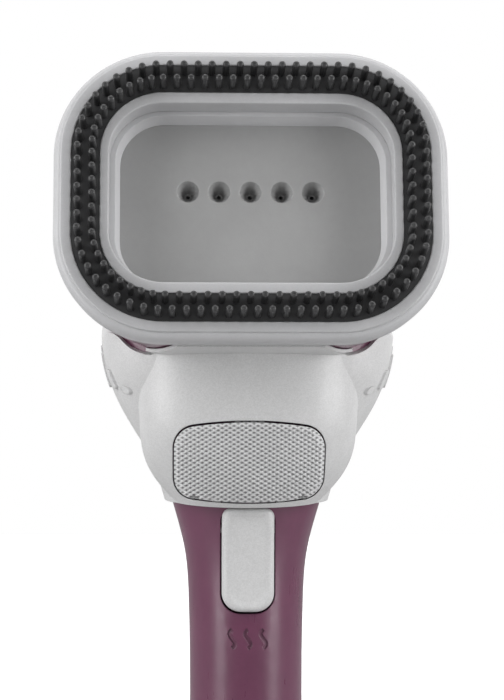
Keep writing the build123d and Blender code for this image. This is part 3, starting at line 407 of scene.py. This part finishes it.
# ---------------------------------------------------------------- brush frame
# The frame that carries the bristles, one grey moulding with a rounded flank, a groove for the
# strip and a lip round the steam recess, which slides on and off the head. Its section is walked
# from the outline inwards, once over the front and once over the back.
HEAD_TURN = Matrix((Vector((1, 0, 0)), HEAD_UP, HEAD_NORMAL)).transposed().to_4x4()
HEAD_PLACE = Matrix.Translation(HEAD_CENTRE) @ HEAD_TURN
FRAME_WIDTH = 129.4 * MM
FRAME_LENGTH = 98.6 * MM
FRAME_CORNER = 36.0 * MM
FLANK_DEPTH = 4.6 * MM
FLANK_ROUND = 2.4 * MM
FLANK_SHELF = -0.9 * MM  # depth of the narrow shelf between the flank and the face's rim
RIM_ROUND = 0.32 * MM
GROOVE_OUTER = 5.9 * MM
GROOVE_INNER = 15.3 * MM
GROOVE_DEPTH = 2.6 * MM
RECESS_INSET = 18.2 * MM
RECESS_SQUEEZE = 0.75 * MM  # how much further the recess stops from the frame's long edges
LIP_BACK = -8.0 * MM
WEB_BACK = -5.0 * MM
SKIRT_BACK = -10.8 * MM
SKIRT_INSET = 0.7 * MM
SKIRT_INNER = 4.1 * MM
LIP_OUTER = 16.7 * MM
SOFT = 0.4 * MM  # small rounding on the frame's edges
CORNER_STEPS = 28
SEAM_MERGE = 0.08 * MM  # corners nearer than this where the halves meet become one


def arc(first, last, steps, flat_first=False):
    """Points (inset, depth) of a quarter round; it starts along the depth, or flat."""
    points = []
    for step in range(1, steps + 1):
        turn = math.pi / 2 * step / steps
        inward, deep = 1 - math.cos(turn), math.sin(turn)
        if flat_first:
            inward, deep = deep, inward
        inset = first[0] + (last[0] - first[0]) * inward
        points.append((inset, first[1] + (last[1] - first[1]) * deep))
    return points


def rounded_sheet(name, width, length, corner, steps):
    """A flat rounded rectangle in the XY plane as one face, left in edit mode, selected."""
    bpy.ops.object.select_all(action="DESELECT")
    bpy.ops.mesh.primitive_plane_add(size=1)
    sheet = bpy.context.object
    sheet.name = name
    bpy.ops.object.mode_set(mode="EDIT")
    bpy.ops.mesh.select_all(action="SELECT")
    bpy.ops.transform.resize(value=(width, length, 1))
    bpy.ops.mesh.bevel(offset=corner, segments=steps, affect="VERTICES", clamp_overlap=False)
    bpy.ops.mesh.select_all(action="SELECT")
    return sheet


def walk(points, start, side=1.0):
    """Insets the selected face along a section of (inset, depth) points."""
    inset, depth = start
    for next_inset, next_depth in points:
        step = (next_depth - depth) * side
        bpy.ops.mesh.inset(thickness=next_inset - inset, depth=step, use_boundary=True)
        inset, depth = next_inset, next_depth


def squeeze(inset):
    """Narrows the selected loop towards the head's middle line."""
    half = FRAME_LENGTH / 2 - inset
    bpy.ops.transform.resize(value=(1, (half - RECESS_SQUEEZE) / half, 1))


def half_frame(name, sections, side):
    """One side of the frame: walks the sections, squeezing between them, and opens the recess."""
    sheet = rounded_sheet(name, FRAME_WIDTH, FRAME_LENGTH, FRAME_CORNER, CORNER_STEPS)
    bpy.ops.transform.translate(value=(0, 0, -FLANK_DEPTH))
    if side < 0:
        bpy.ops.mesh.flip_normals()
    start = (0.0, -FLANK_DEPTH)
    outer, inner = sections
    walk(outer, start, side)
    squeeze(outer[-1][0])
    walk(inner, outer[-1], side)
    bpy.ops.mesh.delete(type="FACE")
    bpy.ops.object.mode_set(mode="OBJECT")
    return sheet


HAIR = 0.01 * MM  # inset that keeps a steep wall's loops apart
RIM_FOOT = FLANK_ROUND + 0.12 * MM
front_outer = arc((0.0, -FLANK_DEPTH), (FLANK_ROUND, FLANK_SHELF), 8)
front_outer.append((RIM_FOOT, -RIM_ROUND))
front_outer += arc((RIM_FOOT, -RIM_ROUND), (RIM_FOOT + RIM_ROUND, 0.0), 4)
front_outer.append((GROOVE_OUTER - SOFT, 0.0))
front_outer += arc((GROOVE_OUTER - SOFT, 0.0), (GROOVE_OUTER, -SOFT), 3, flat_first=True)
front_outer.append((GROOVE_OUTER + HAIR, -GROOVE_DEPTH))
front_outer.append((GROOVE_INNER - HAIR, -GROOVE_DEPTH))
front_outer.append((GROOVE_INNER, -SOFT))
front_outer += arc((GROOVE_INNER, -SOFT), (GROOVE_INNER + SOFT, 0.0), 3)
LIP_ROUND = 0.45 * MM
front_inner = [(RECESS_INSET - LIP_ROUND, 0.0)]
lip_end = (RECESS_INSET - HAIR, -LIP_ROUND)
front_inner += arc((RECESS_INSET - LIP_ROUND, 0.0), lip_end, 5, flat_first=True)
front_inner.append((RECESS_INSET, LIP_BACK))
back_outer = [(HAIR, -FLANK_DEPTH - SOFT)]
back_outer += [(SKIRT_INSET, -FLANK_DEPTH - 2 * SOFT), (SKIRT_INSET + HAIR, SKIRT_BACK + SOFT)]
back_outer += arc((SKIRT_INSET + HAIR, SKIRT_BACK + SOFT), (SKIRT_INSET + SOFT, SKIRT_BACK), 3)
back_outer += [(SKIRT_INNER - SOFT, SKIRT_BACK), (SKIRT_INNER, SKIRT_BACK + SOFT)]
back_outer += [(SKIRT_INNER + HAIR, WEB_BACK), (LIP_OUTER, WEB_BACK)]
back_inner = [(LIP_OUTER + HAIR, LIP_BACK), (RECESS_INSET, LIP_BACK)]
back_half = half_frame("frame_back", (back_outer, back_inner), -1.0)
brush_frame = half_frame("brush_frame_shell", (front_outer, front_inner), 1.0)


def clean_join(pieces, name, gap):
    """Joins pieces into one, merges what touches and turns its faces outwards."""
    bpy.ops.object.select_all(action="DESELECT")
    for piece in pieces:
        piece.select_set(True)
    bpy.context.view_layer.objects.active = pieces[0]
    bpy.ops.object.join()
    piece = bpy.context.object
    piece.name = name
    bpy.ops.object.mode_set(mode="EDIT")
    bpy.ops.mesh.select_all(action="SELECT")
    bpy.ops.mesh.remove_doubles(threshold=gap)
    bpy.ops.mesh.normals_make_consistent(inside=False)
    bpy.ops.object.mode_set(mode="OBJECT")
    return piece


def settle(piece, place, angle=32.0):
    """Puts a piece at its place, keeps the place in its mesh and smooths its gentle edges."""
    bpy.ops.object.select_all(action="DESELECT")
    piece.select_set(True)
    bpy.context.view_layer.objects.active = piece
    piece.matrix_world = place
    bpy.ops.object.transform_apply(location=True, rotation=True, scale=True)
    bpy.ops.object.shade_smooth_by_angle(angle=math.radians(angle))


brush_frame = clean_join([brush_frame, back_half], "brush_frame_shell", SEAM_MERGE)
settle(brush_frame, HEAD_PLACE)
frame_grey = moulded(
    "frame_grey", (0.425, 0.425, 0.435), (0.395, 0.395, 0.403), (0.34, 0.46), 2600.0, 0.012 * MM,
    (0.6, 0.6, 0.6), waviness=0.3,
)
add_flakes(frame_grey, 2600.0, 0.05)
brush_frame.data.materials.append(frame_grey)
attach(brush_frame, "brush")
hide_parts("brush_frame")

# ---------------------------------------------------------------- bristle strip and bristles
# A black silicone strip laid in the frame's groove, with two staggered rows of round bristles
# moulded on it. Each bristle has a rounded tip with a small dimple where the mould's pin stood.
silicone = moulded(
    "black_silicone", (0.032, 0.032, 0.033), (0.022, 0.022, 0.023), (0.32, 0.46), 1900.0, 0.02 * MM,
    (0.07, 0.07, 0.07),
)
wear_on(silicone, "bristle_strip")
BRISTLE_RADIUS = 1.15 * MM
BRISTLE_LENGTH = 8.0 * MM
TIP_ROUND = 0.62 * MM
DIMPLE_RIM = 0.12 * MM  # width of the ring round the dimple
DIMPLE_EDGE = 0.45 * MM
DIMPLE_DEPTH = 0.25 * MM

bpy.ops.object.select_all(action="DESELECT")
bpy.ops.object.add(type="MESH")
spots_piece = bpy.context.object
spots_piece.data = NODES["bristles"].data.copy()
bpy.ops.object.mode_set(mode="EDIT")
bpy.ops.mesh.select_all(action="SELECT")
bpy.ops.mesh.remove_doubles(threshold=0.01 * MM)
bpy.ops.mesh.separate(type="LOOSE")
bpy.ops.object.mode_set(mode="OBJECT")
bpy.ops.object.origin_set(type="ORIGIN_GEOMETRY", center="BOUNDS")
studs = list(bpy.context.selected_objects)
spots = [stud.location.copy() for stud in studs]
bpy.ops.object.delete()

bpy.ops.mesh.primitive_cylinder_add(vertices=12, radius=BRISTLE_RADIUS, depth=BRISTLE_LENGTH)
bristle = bpy.context.object
bpy.ops.object.mode_set(mode="EDIT")


def pick_faces(piece, wanted):
    """In edit mode, selects only the faces whose middle and normal are wanted."""
    mesh = bmesh.from_edit_mesh(piece.data)
    for face in mesh.faces:
        face.select_set(False)
    for face in mesh.faces:
        if wanted(face.calc_center_median(), face.normal):
            face.select_set(True)
    bmesh.update_edit_mesh(piece.data)


pick_faces(bristle, lambda middle, normal: normal.z < -0.9)
bpy.ops.mesh.delete(type="ONLY_FACE")
pick_faces(bristle, lambda middle, normal: normal.z > 0.9)
bpy.ops.transform.translate(value=(0, 0, -TIP_ROUND))
walk(arc((0.0, 0.0), (TIP_ROUND, TIP_ROUND), 3), (0.0, 0.0))
walk([(DIMPLE_RIM, 0.0), (DIMPLE_EDGE, -DIMPLE_DEPTH)], (0.0, 0.0))
bpy.ops.object.mode_set(mode="OBJECT")
bristle_mesh = bristle.data
bristle_mesh.transform(HEAD_TURN)
copies = []
for number, spot in enumerate(spots):
    copy = bpy.data.objects.new(f"bristle_{number}", bristle_mesh.copy())
    bpy.context.collection.objects.link(copy)
    copy.location = spot
    copies.append(copy)
bpy.data.objects.remove(bristle)
bpy.ops.object.select_all(action="DESELECT")
for copy in copies:
    copy.select_set(True)
bpy.context.view_layer.objects.active = copies[0]
bpy.ops.object.join()
bristle_field = bpy.context.object
bristle_field.name = "bristle_field"
bpy.ops.object.transform_apply(location=True, rotation=True, scale=True)
bpy.ops.object.shade_smooth_by_angle(angle=math.radians(50))
bristle_field.data.materials.append(silicone)
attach(bristle_field, "brush")
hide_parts("bristles")

# ---------------------------------------------------------------- steam plate, bezel and nozzles
# The cast plate at the bottom of the recess, bead-blasted and anodised, with its row of conical
# steam nozzles, and the heat-resistant grey bezel that it is screwed into from behind.
plate_finish = moulded(
    "blasted_plate", (0.36, 0.36, 0.36), (0.335, 0.335, 0.335), (0.42, 0.52), 3800.0, 0.02 * MM,
    (0.5, 0.5, 0.5),
)
plate_finish.node_tree.nodes["Principled BSDF"].inputs["Metallic"].default_value = 0.35
wear_on(plate_finish, "steam_plate")
bezel_grey = moulded(
    "bezel_grey", (0.50, 0.50, 0.51), (0.46, 0.46, 0.47), (0.36, 0.48), 2400.0, 0.012 * MM,
    (0.6, 0.6, 0.6),
)
wear_on(bezel_grey, "head_bezel")

# ---------------------------------------------------------------- release pad
# The wide grey pad under the head that frees the brush frame. A rocking moulding with a rounded
# rim and a field of small diamonds, moulded in one, that keeps a thumb from slipping.
PAD_WIDTH = 51.0 * MM
PAD_LOW = 127.4 * MM
PAD_HIGH = 154.3 * MM
PAD_ARCH = 2.4 * MM
PAD_RIM = 0.2 * MM
DIAMOND_WIDE = 2.66 * MM
DIAMOND_TALL = 1.54 * MM
DIAMOND_GROOVE = 0.15 * MM
DIAMOND_RISE = 0.34 * MM
DIAMOND_FLANK = 0.12 * MM
DIAMOND_CROWN = 0.18 * MM  # width of the bevel round its top
CROWN_RISE = 0.08 * MM
DIAMOND_REACH = 0.5 * MM  # how far a diamond may reach past the rim's inner edge
PAD_CORNER = 7.4 * MM
PAD_FRONT = -100 * MM  # a plane well ahead of the pad, from which the diamonds are laid on it
FACING = 0.4  # a diamond turned further from the front than this has missed the pad
ACROSS = 50  # diamonds along one side of the sheet that they are cut from


def node_copy(node, name):
    """A copy of a CAD node's mesh with its triangles merged."""
    bpy.ops.object.select_all(action="DESELECT")
    bpy.ops.object.add(type="MESH")
    piece = bpy.context.object
    piece.name = name
    piece.data = NODES[node].data.copy()
    bpy.ops.object.mode_set(mode="EDIT")
    bpy.ops.mesh.select_all(action="SELECT")
    bpy.ops.mesh.remove_doubles(threshold=0.005 * MM)
    bpy.ops.object.mode_set(mode="OBJECT")
    return piece


def lay_on(piece, target):
    """Lays a flat piece on the front of a target, straight back along Y."""
    bpy.ops.object.select_all(action="DESELECT")
    piece.select_set(True)
    bpy.context.view_layer.objects.active = piece
    wrap = piece.modifiers.new("lay_on", "SHRINKWRAP")
    wrap.wrap_method = "PROJECT"
    wrap.use_project_y = True
    wrap.use_positive_direction = True
    wrap.use_negative_direction = False
    wrap.target = target
    bpy.ops.object.modifier_apply(modifier="lay_on")


pad_form = node_copy("release_button", "release_pad_form")
pad_middle = (PAD_LOW + PAD_HIGH) / 2
bpy.ops.object.select_all(action="DESELECT")
bpy.ops.mesh.primitive_grid_add(x_subdivisions=ACROSS, y_subdivisions=ACROSS, size=1)
diamonds = bpy.context.object
diamonds.name = "release_pad_diamonds"
bpy.ops.object.mode_set(mode="EDIT")
bpy.ops.mesh.select_all(action="SELECT")
bpy.ops.transform.rotate(value=math.radians(45), orient_axis="Z", center_override=(0, 0, 0))
side_step = ACROSS / math.sqrt(2)
bpy.ops.transform.resize(value=(side_step * DIAMOND_WIDE, side_step * DIAMOND_TALL, 1))
bpy.ops.transform.rotate(value=math.radians(-90), orient_axis="X", center_override=(0, 0, 0))
bpy.ops.transform.translate(value=(0, PAD_FRONT, pad_middle))


def on_pad(x, z, inset):
    """Whether a spot lies on the pad, at least inset from its arched outline."""
    half = PAD_WIDTH / 2 - inset
    bow = PAD_ARCH * (x / (PAD_WIDTH / 2)) ** 2
    low, high = PAD_LOW + bow + inset, PAD_HIGH - bow - inset
    corner = PAD_CORNER - inset
    if abs(x) > half or not low < z < high:
        return False
    out_x = max(abs(x) - (half - corner), 0)
    out_z = max(z - (high - corner), (low + corner) - z, 0)
    return math.hypot(out_x, out_z) < corner


pick_faces(diamonds, lambda middle, normal: not on_pad(middle.x, middle.z, PAD_RIM + DIAMOND_REACH))
bpy.ops.mesh.delete(type="FACE")
bpy.ops.object.mode_set(mode="OBJECT")
lay_on(diamonds, pad_form)
bpy.ops.object.mode_set(mode="EDIT")
bpy.ops.mesh.select_all(action="SELECT")
bpy.ops.mesh.normals_make_consistent(inside=False)
# diamonds that hang over the pad's edge stayed in front of it
pick_faces(diamonds, lambda middle, normal: middle.y < PAD_FRONT / 2 or abs(normal.y) < FACING)
bpy.ops.mesh.delete(type="FACE")
bpy.ops.mesh.select_all(action="SELECT")
facing = bmesh.from_edit_mesh(diamonds.data)
if sum(face.normal.y for face in facing.faces) > 0:
    bpy.ops.mesh.flip_normals()
bpy.ops.mesh.inset(thickness=DIAMOND_GROOVE, use_individual=True)
bpy.ops.mesh.inset(thickness=DIAMOND_FLANK, depth=DIAMOND_RISE, use_individual=True)
bpy.ops.mesh.inset(thickness=DIAMOND_CROWN, depth=CROWN_RISE, use_individual=True)
bpy.ops.object.mode_set(mode="OBJECT")
pad_grip = moulded(
    "grip_grey", (0.62, 0.62, 0.625), (0.57, 0.57, 0.575), (0.36, 0.50), 2200.0, 0.015 * MM,
    (0.62, 0.62, 0.62),
)
wear_on(pad_grip, "release_button")
SHADE_SPOT_CORE = 0.06  # painted shade: the dark spot between four diamonds, which stands in for the shade under each diamond: its core and its edge
SHADE_SPOT_EDGE = 0.44
# painted shade: the grip's colour is darkened in a spot at each corner where four diamonds meet, as
# if the lower flank of each diamond were in shade
tree = pad_grip.node_tree
shader = tree.nodes["Principled BSDF"]
spot = tree.nodes.new("ShaderNodeSeparateXYZ")
wire(tree, (tree.nodes["Texture Coordinate"].outputs["Object"], spot.inputs["Vector"]))
across = math_node(tree, "DIVIDE", spot.outputs["X"], DIAMOND_WIDE)
above = math_node(tree, "SUBTRACT", spot.outputs["Z"], pad_middle)
up = math_node(tree, "DIVIDE", above, DIAMOND_TALL)
rising = math_node(tree, "PINGPONG", math_node(tree, "ADD", across, up), 0.5)
falling = math_node(tree, "PINGPONG", math_node(tree, "SUBTRACT", across, up), 0.5)
shade_spot_mask = tree.nodes.new("ShaderNodeMapRange")
shade_spot_mask.interpolation_type = "SMOOTHSTEP"
shade_spot_mask.inputs["From Min"].default_value = SHADE_SPOT_CORE
shade_spot_mask.inputs["From Max"].default_value = SHADE_SPOT_EDGE
# the colour of the painted shade in those spots
painted_shade = tree.nodes.new("ShaderNodeRGB")
painted_shade.outputs[0].default_value = (0.16, 0.16, 0.162, 1)
wire(tree, (math_node(tree, "MAXIMUM", rising, falling), shade_spot_mask.inputs["Value"]))
unshaded_colour = shader.inputs["Base Color"].links[0].from_socket
field_colour_with_shade = blend_colours(tree, shade_spot_mask.outputs["Result"], painted_shade.outputs[0], unshaded_colour)
wire(tree, (field_colour_with_shade, shader.inputs["Base Color"]))
settle(diamonds, Matrix.Identity(4), 20.0)
diamonds.data.materials.append(pad_grip)
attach(diamonds, "release")
bpy.data.objects.remove(pad_form)

# ---------------------------------------------------------------- trigger
# The steam trigger, a light grey moulding with a soft rim and a dished face, which swings on a
# steel pin. Rings of its face are laid on the handle's curve, then the rim is rounded back and
# the middle is sunk.
TRIGGER_WIDTH = 18.2 * MM
TRIGGER_LENGTH = 34.5 * MM
TRIGGER_PEAK = 1.4 * MM  # the face's upper end is drawn up this far, to just under the collar
TRIGGER_FOOT = 89.5 * MM
LOWER_CORNER = 6.5 * MM
UPPER_CORNER = 3.0 * MM
TRIGGER_RIM = 1.9 * MM
DISH_START = 1.8 * MM  # from the outline to where the dish begins
DISH_RUN = 1.9 * MM
DISH_DEPTH = 0.65 * MM
RING_STEP = 0.45 * MM
TRIGGER_EDGE = 0.06 * MM  # the face stops this far inside the trigger's side
TRIGGER_SIDE = 5 * MM  # depth of its sides
TRIGGER_SHELF = -21 * MM  # everything ahead of this depth is its face
RIM_SHARE = 0.8  # the rim rounds back by less than it is wide
LONG_CUTS = 18  # cuts along its straight sides and its straight ends
SHORT_CUTS = 7
trigger_form = node_copy("trigger", "trigger_form")
bpy.ops.object.select_all(action="DESELECT")
bpy.ops.mesh.primitive_plane_add(size=1)
trigger = bpy.context.object
trigger.name = "trigger_shell"
half_wide = TRIGGER_WIDTH / 2 - TRIGGER_EDGE
half_long = TRIGGER_LENGTH / 2 - TRIGGER_EDGE
bpy.ops.object.mode_set(mode="EDIT")
bpy.ops.mesh.select_all(action="SELECT")
bpy.ops.transform.resize(value=(2 * half_wide, 2 * half_long, 1))


def pick_corners(piece, wanted):
    """In edit mode, selects only the corners that are wanted."""
    mesh = bmesh.from_edit_mesh(piece.data)
    for corner in mesh.verts:
        corner.select_set(False)
    for corner in mesh.verts:
        if wanted(corner.co):
            corner.select_set(True)
    mesh.select_flush_mode()
    bmesh.update_edit_mesh(piece.data)


bpy.ops.mesh.select_mode(type="VERT")
pick_corners(trigger, lambda spot: spot.y < 0)
bpy.ops.mesh.bevel(offset=LOWER_CORNER, segments=12, affect="VERTICES", clamp_overlap=False)
pick_corners(trigger, lambda spot: spot.y > half_long - RING_STEP)
bpy.ops.mesh.bevel(offset=UPPER_CORNER, segments=8, affect="VERTICES", clamp_overlap=False)


def pick_edges(piece, wanted):
    """In edit mode, selects only the edges whose two ends are wanted."""
    mesh = bmesh.from_edit_mesh(piece.data)
    for edge in mesh.edges:
        edge.select_set(False)
    for edge in mesh.edges:
        if wanted(edge.verts[0].co, edge.verts[1].co):
            edge.select_set(True)
    bmesh.update_edit_mesh(piece.data)


bpy.ops.mesh.select_mode(type="EDGE")
pick_edges(trigger, lambda one, other: abs(one.x - other.x) < HAIR)
bpy.ops.mesh.subdivide(number_cuts=LONG_CUTS)
pick_edges(trigger, lambda one, other: abs(one.y - other.y) < HAIR)
bpy.ops.mesh.subdivide(number_cuts=SHORT_CUTS)
bpy.ops.mesh.select_mode(type="FACE")
bpy.ops.mesh.select_all(action="SELECT")
rings = int((half_wide - RING_STEP) / RING_STEP)
for ring in range(1, rings + 1):
    bpy.ops.mesh.inset(thickness=HAIR / 10)
    before, after = (ring - 1) * RING_STEP, ring * RING_STEP
    narrow = (half_wide - after) / (half_wide - before)
    shorten = (half_long - after) / (half_long - before)
    bpy.ops.transform.resize(value=(narrow, shorten, 1))
    bpy.ops.object.vertex_group_assign_new()
bpy.ops.mesh.select_all(action="SELECT")
bpy.ops.transform.rotate(value=math.radians(-90), orient_axis="X", center_override=(0, 0, 0))
bpy.ops.transform.translate(value=(0, PAD_FRONT, TRIGGER_FOOT + TRIGGER_LENGTH / 2))
bpy.ops.object.mode_set(mode="OBJECT")
lay_on(trigger, trigger_form)
bpy.ops.object.mode_set(mode="EDIT")
bpy.ops.mesh.select_mode(type="VERT")


def sunk(inset):
    """How far the trigger's face lies behind its crest at a distance from its outline."""
    rim = max(1 - inset / TRIGGER_RIM, 0)
    drop = TRIGGER_RIM * (1 - math.sqrt(1 - rim * rim)) * RIM_SHARE
    run = min(max((inset - DISH_START) / DISH_RUN, 0), 1)
    return drop + DISH_DEPTH * run * run * (3 - 2 * run)


# each ring's group also holds the rings inside it, so a ring moves by what it lies deeper
for ring in range(1, rings + 1):
    bpy.ops.mesh.select_all(action="DESELECT")
    trigger.vertex_groups.active_index = ring - 1
    bpy.ops.object.vertex_group_select()
    outer = sunk((ring - 1) * RING_STEP) if ring > 1 else 0
    bpy.ops.transform.translate(value=(0, sunk(ring * RING_STEP) - outer, 0))
bpy.ops.mesh.select_all(action="DESELECT")
bpy.ops.mesh.select_non_manifold()
bpy.ops.transform.translate(value=(0, sunk(0), 0))
bpy.ops.mesh.extrude_region()
bpy.ops.transform.translate(value=(0, TRIGGER_SIDE, 0))
bpy.ops.mesh.edge_face_add()
upper_end = TRIGGER_FOOT + TRIGGER_LENGTH - UPPER_CORNER - RING_STEP
pick_corners(trigger, lambda spot: spot.z > upper_end and spot.y < TRIGGER_SHELF)
bpy.ops.transform.translate(value=(0, 0, TRIGGER_PEAK))
bpy.ops.mesh.select_all(action="SELECT")
bpy.ops.mesh.normals_make_consistent(inside=False)
bpy.ops.object.mode_set(mode="OBJECT")
trigger.vertex_groups.clear()
settle(trigger, Matrix.Identity(4), 40.0)
trigger.data.materials.append(satin)
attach(trigger, "trigger_lever")
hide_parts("trigger")
bpy.data.objects.remove(trigger_form)

# ---------------------------------------------------------------- water tank, stopper and valve
# A smoky clear tank let into the back of the steamer, with a silicone stopper in its filler and
# a slit valve in its spigot.
smoke, tree, shader, place = blank_material("smoky_clear")
shader.inputs["Transmission Weight"].default_value = 0.82
shader.inputs["IOR"].default_value = 1.49
SMOKE_LIGHT = (0.46, 0.42, 0.45, 1)
SMOKE_DARK = (0.40, 0.36, 0.39, 1)
shades = place_group(tree, "mottle", place, Light=SMOKE_LIGHT, Dark=SMOKE_DARK, Scale=30.0)
marks = place_group(tree, "wipe_marks", place, Low=0.06, High=0.16, Scale=40.0)
wire(
    tree,
    (shades.outputs["Color"], shader.inputs["Base Color"]),
    (marks.outputs["Roughness"], shader.inputs["Roughness"]),
)
wear_on(smoke, "water_tank")
seal_grey = moulded(
    "grey_silicone", (0.30, 0.30, 0.31), (0.25, 0.25, 0.26), (0.45, 0.6), 1500.0, 0.02 * MM,
    (0.4, 0.4, 0.4),
)
wear_on(seal_grey, "tank_stopper", "tank_valve", "plate_seal")

# ---------------------------------------------------------------- power button and light ring
# A domed grey button on the crown inside an opal ring that lights up. The ring and the micro
# switch's plunger are moulded in the same opal plastic.
wear_on(satin, "power_button")
opal = moulded(
    "opal_lens", (0.78, 0.78, 0.80), (0.72, 0.72, 0.75), (0.2, 0.3), 1200.0, 0.004 * MM,
    (0.9, 0.9, 0.9),
)
wear_on(opal, "light_ring", "switch_plunger")

# ---------------------------------------------------------------- screws, pins and springs
# Turned and drawn steel: screws, hinge pins, the pump's piston, the heating element's tube and
# the coil springs.
def steel(name, light, dark, gloss, scale):
    """Bare steel with drawing marks and a few dull spots."""
    material = moulded(name, light, dark, gloss, scale, 0.01 * MM, (0.7, 0.7, 0.7))
    material.node_tree.nodes["Principled BSDF"].inputs["Metallic"].default_value = 1.0
    return material


bright_steel = steel("bright_steel", (0.62, 0.62, 0.62), (0.52, 0.52, 0.52), (0.22, 0.38), 2000.0)
wear_on(bright_steel, "release_pin", "trigger_pin", "pump_piston")
for number in range(1, 5):
    wear_on(bright_steel, f"housing_screw_{number}", f"plate_screw_{number}")
element_steel = steel("annealed_steel", (0.40, 0.36, 0.30), (0.30, 0.27, 0.25), (0.35, 0.55), 1400.0)
wear_on(element_steel, "heating_element")
spring_steel = steel("spring_wire", (0.50, 0.50, 0.50), (0.40, 0.40, 0.41), (0.28, 0.4), 2600.0)
wear_on(spring_steel, "release_spring", "trigger_spring", "power_spring")

# ---------------------------------------------------------------- gland, terminals and switch
# Black nylon mouldings round the mains lead's inlet, its terminals, the micro switch and the
# pump with its intake port.
nylon = moulded(
    "black_nylon", (0.030, 0.030, 0.031), (0.020, 0.020, 0.021), (0.42, 0.58), 1300.0, 0.02 * MM,
    (0.09, 0.09, 0.09),
)
wear_on(nylon, "cord_gland", "terminal_block", "micro_switch", "pump_body", "intake_port")

# ---------------------------------------------------------------- hoses
# Milky silicone hoses from the tank's intake port to the pump and on to the heater, pushed over
# their nipples.
hose = moulded(
    "milky_silicone", (0.70, 0.70, 0.67), (0.62, 0.62, 0.59), (0.35, 0.5), 900.0, 0.01 * MM,
    (0.8, 0.8, 0.8),
)
wear_on(hose, "suction_hose", "delivery_hose")

# ---------------------------------------------------------------- heater, shield, thermostat
# The die-cast heater block behind the steam plate, its sheet steel shield, and the ceramic
# bodies of the thermostat and the thermal fuse.
casting = steel("die_casting", (0.58, 0.58, 0.58), (0.46, 0.46, 0.47), (0.45, 0.62), 700.0)
wear_on(casting, "heater_block")
sheet_metal = steel("shield_sheet", (0.66, 0.66, 0.67), (0.56, 0.56, 0.57), (0.25, 0.4), 1800.0)
wear_on(sheet_metal, "heat_shield")
ceramic = moulded(
    "ceramic", (0.66, 0.62, 0.54), (0.58, 0.54, 0.47), (0.4, 0.6), 1100.0, 0.02 * MM,
    (0.75, 0.72, 0.66),
)
wear_on(ceramic, "thermostat", "thermal_fuse")

# ---------------------------------------------------------------- control board
# A green glass-fibre board with its parts, which stands on posts above the tank's room and is
# closed in by the crown.
board = moulded(
    "green_board", (0.012, 0.09, 0.035), (0.008, 0.06, 0.025), (0.3, 0.45), 1200.0, 0.01 * MM,
    (0.3, 0.3, 0.2),
)
wear_on(board, "control_board")
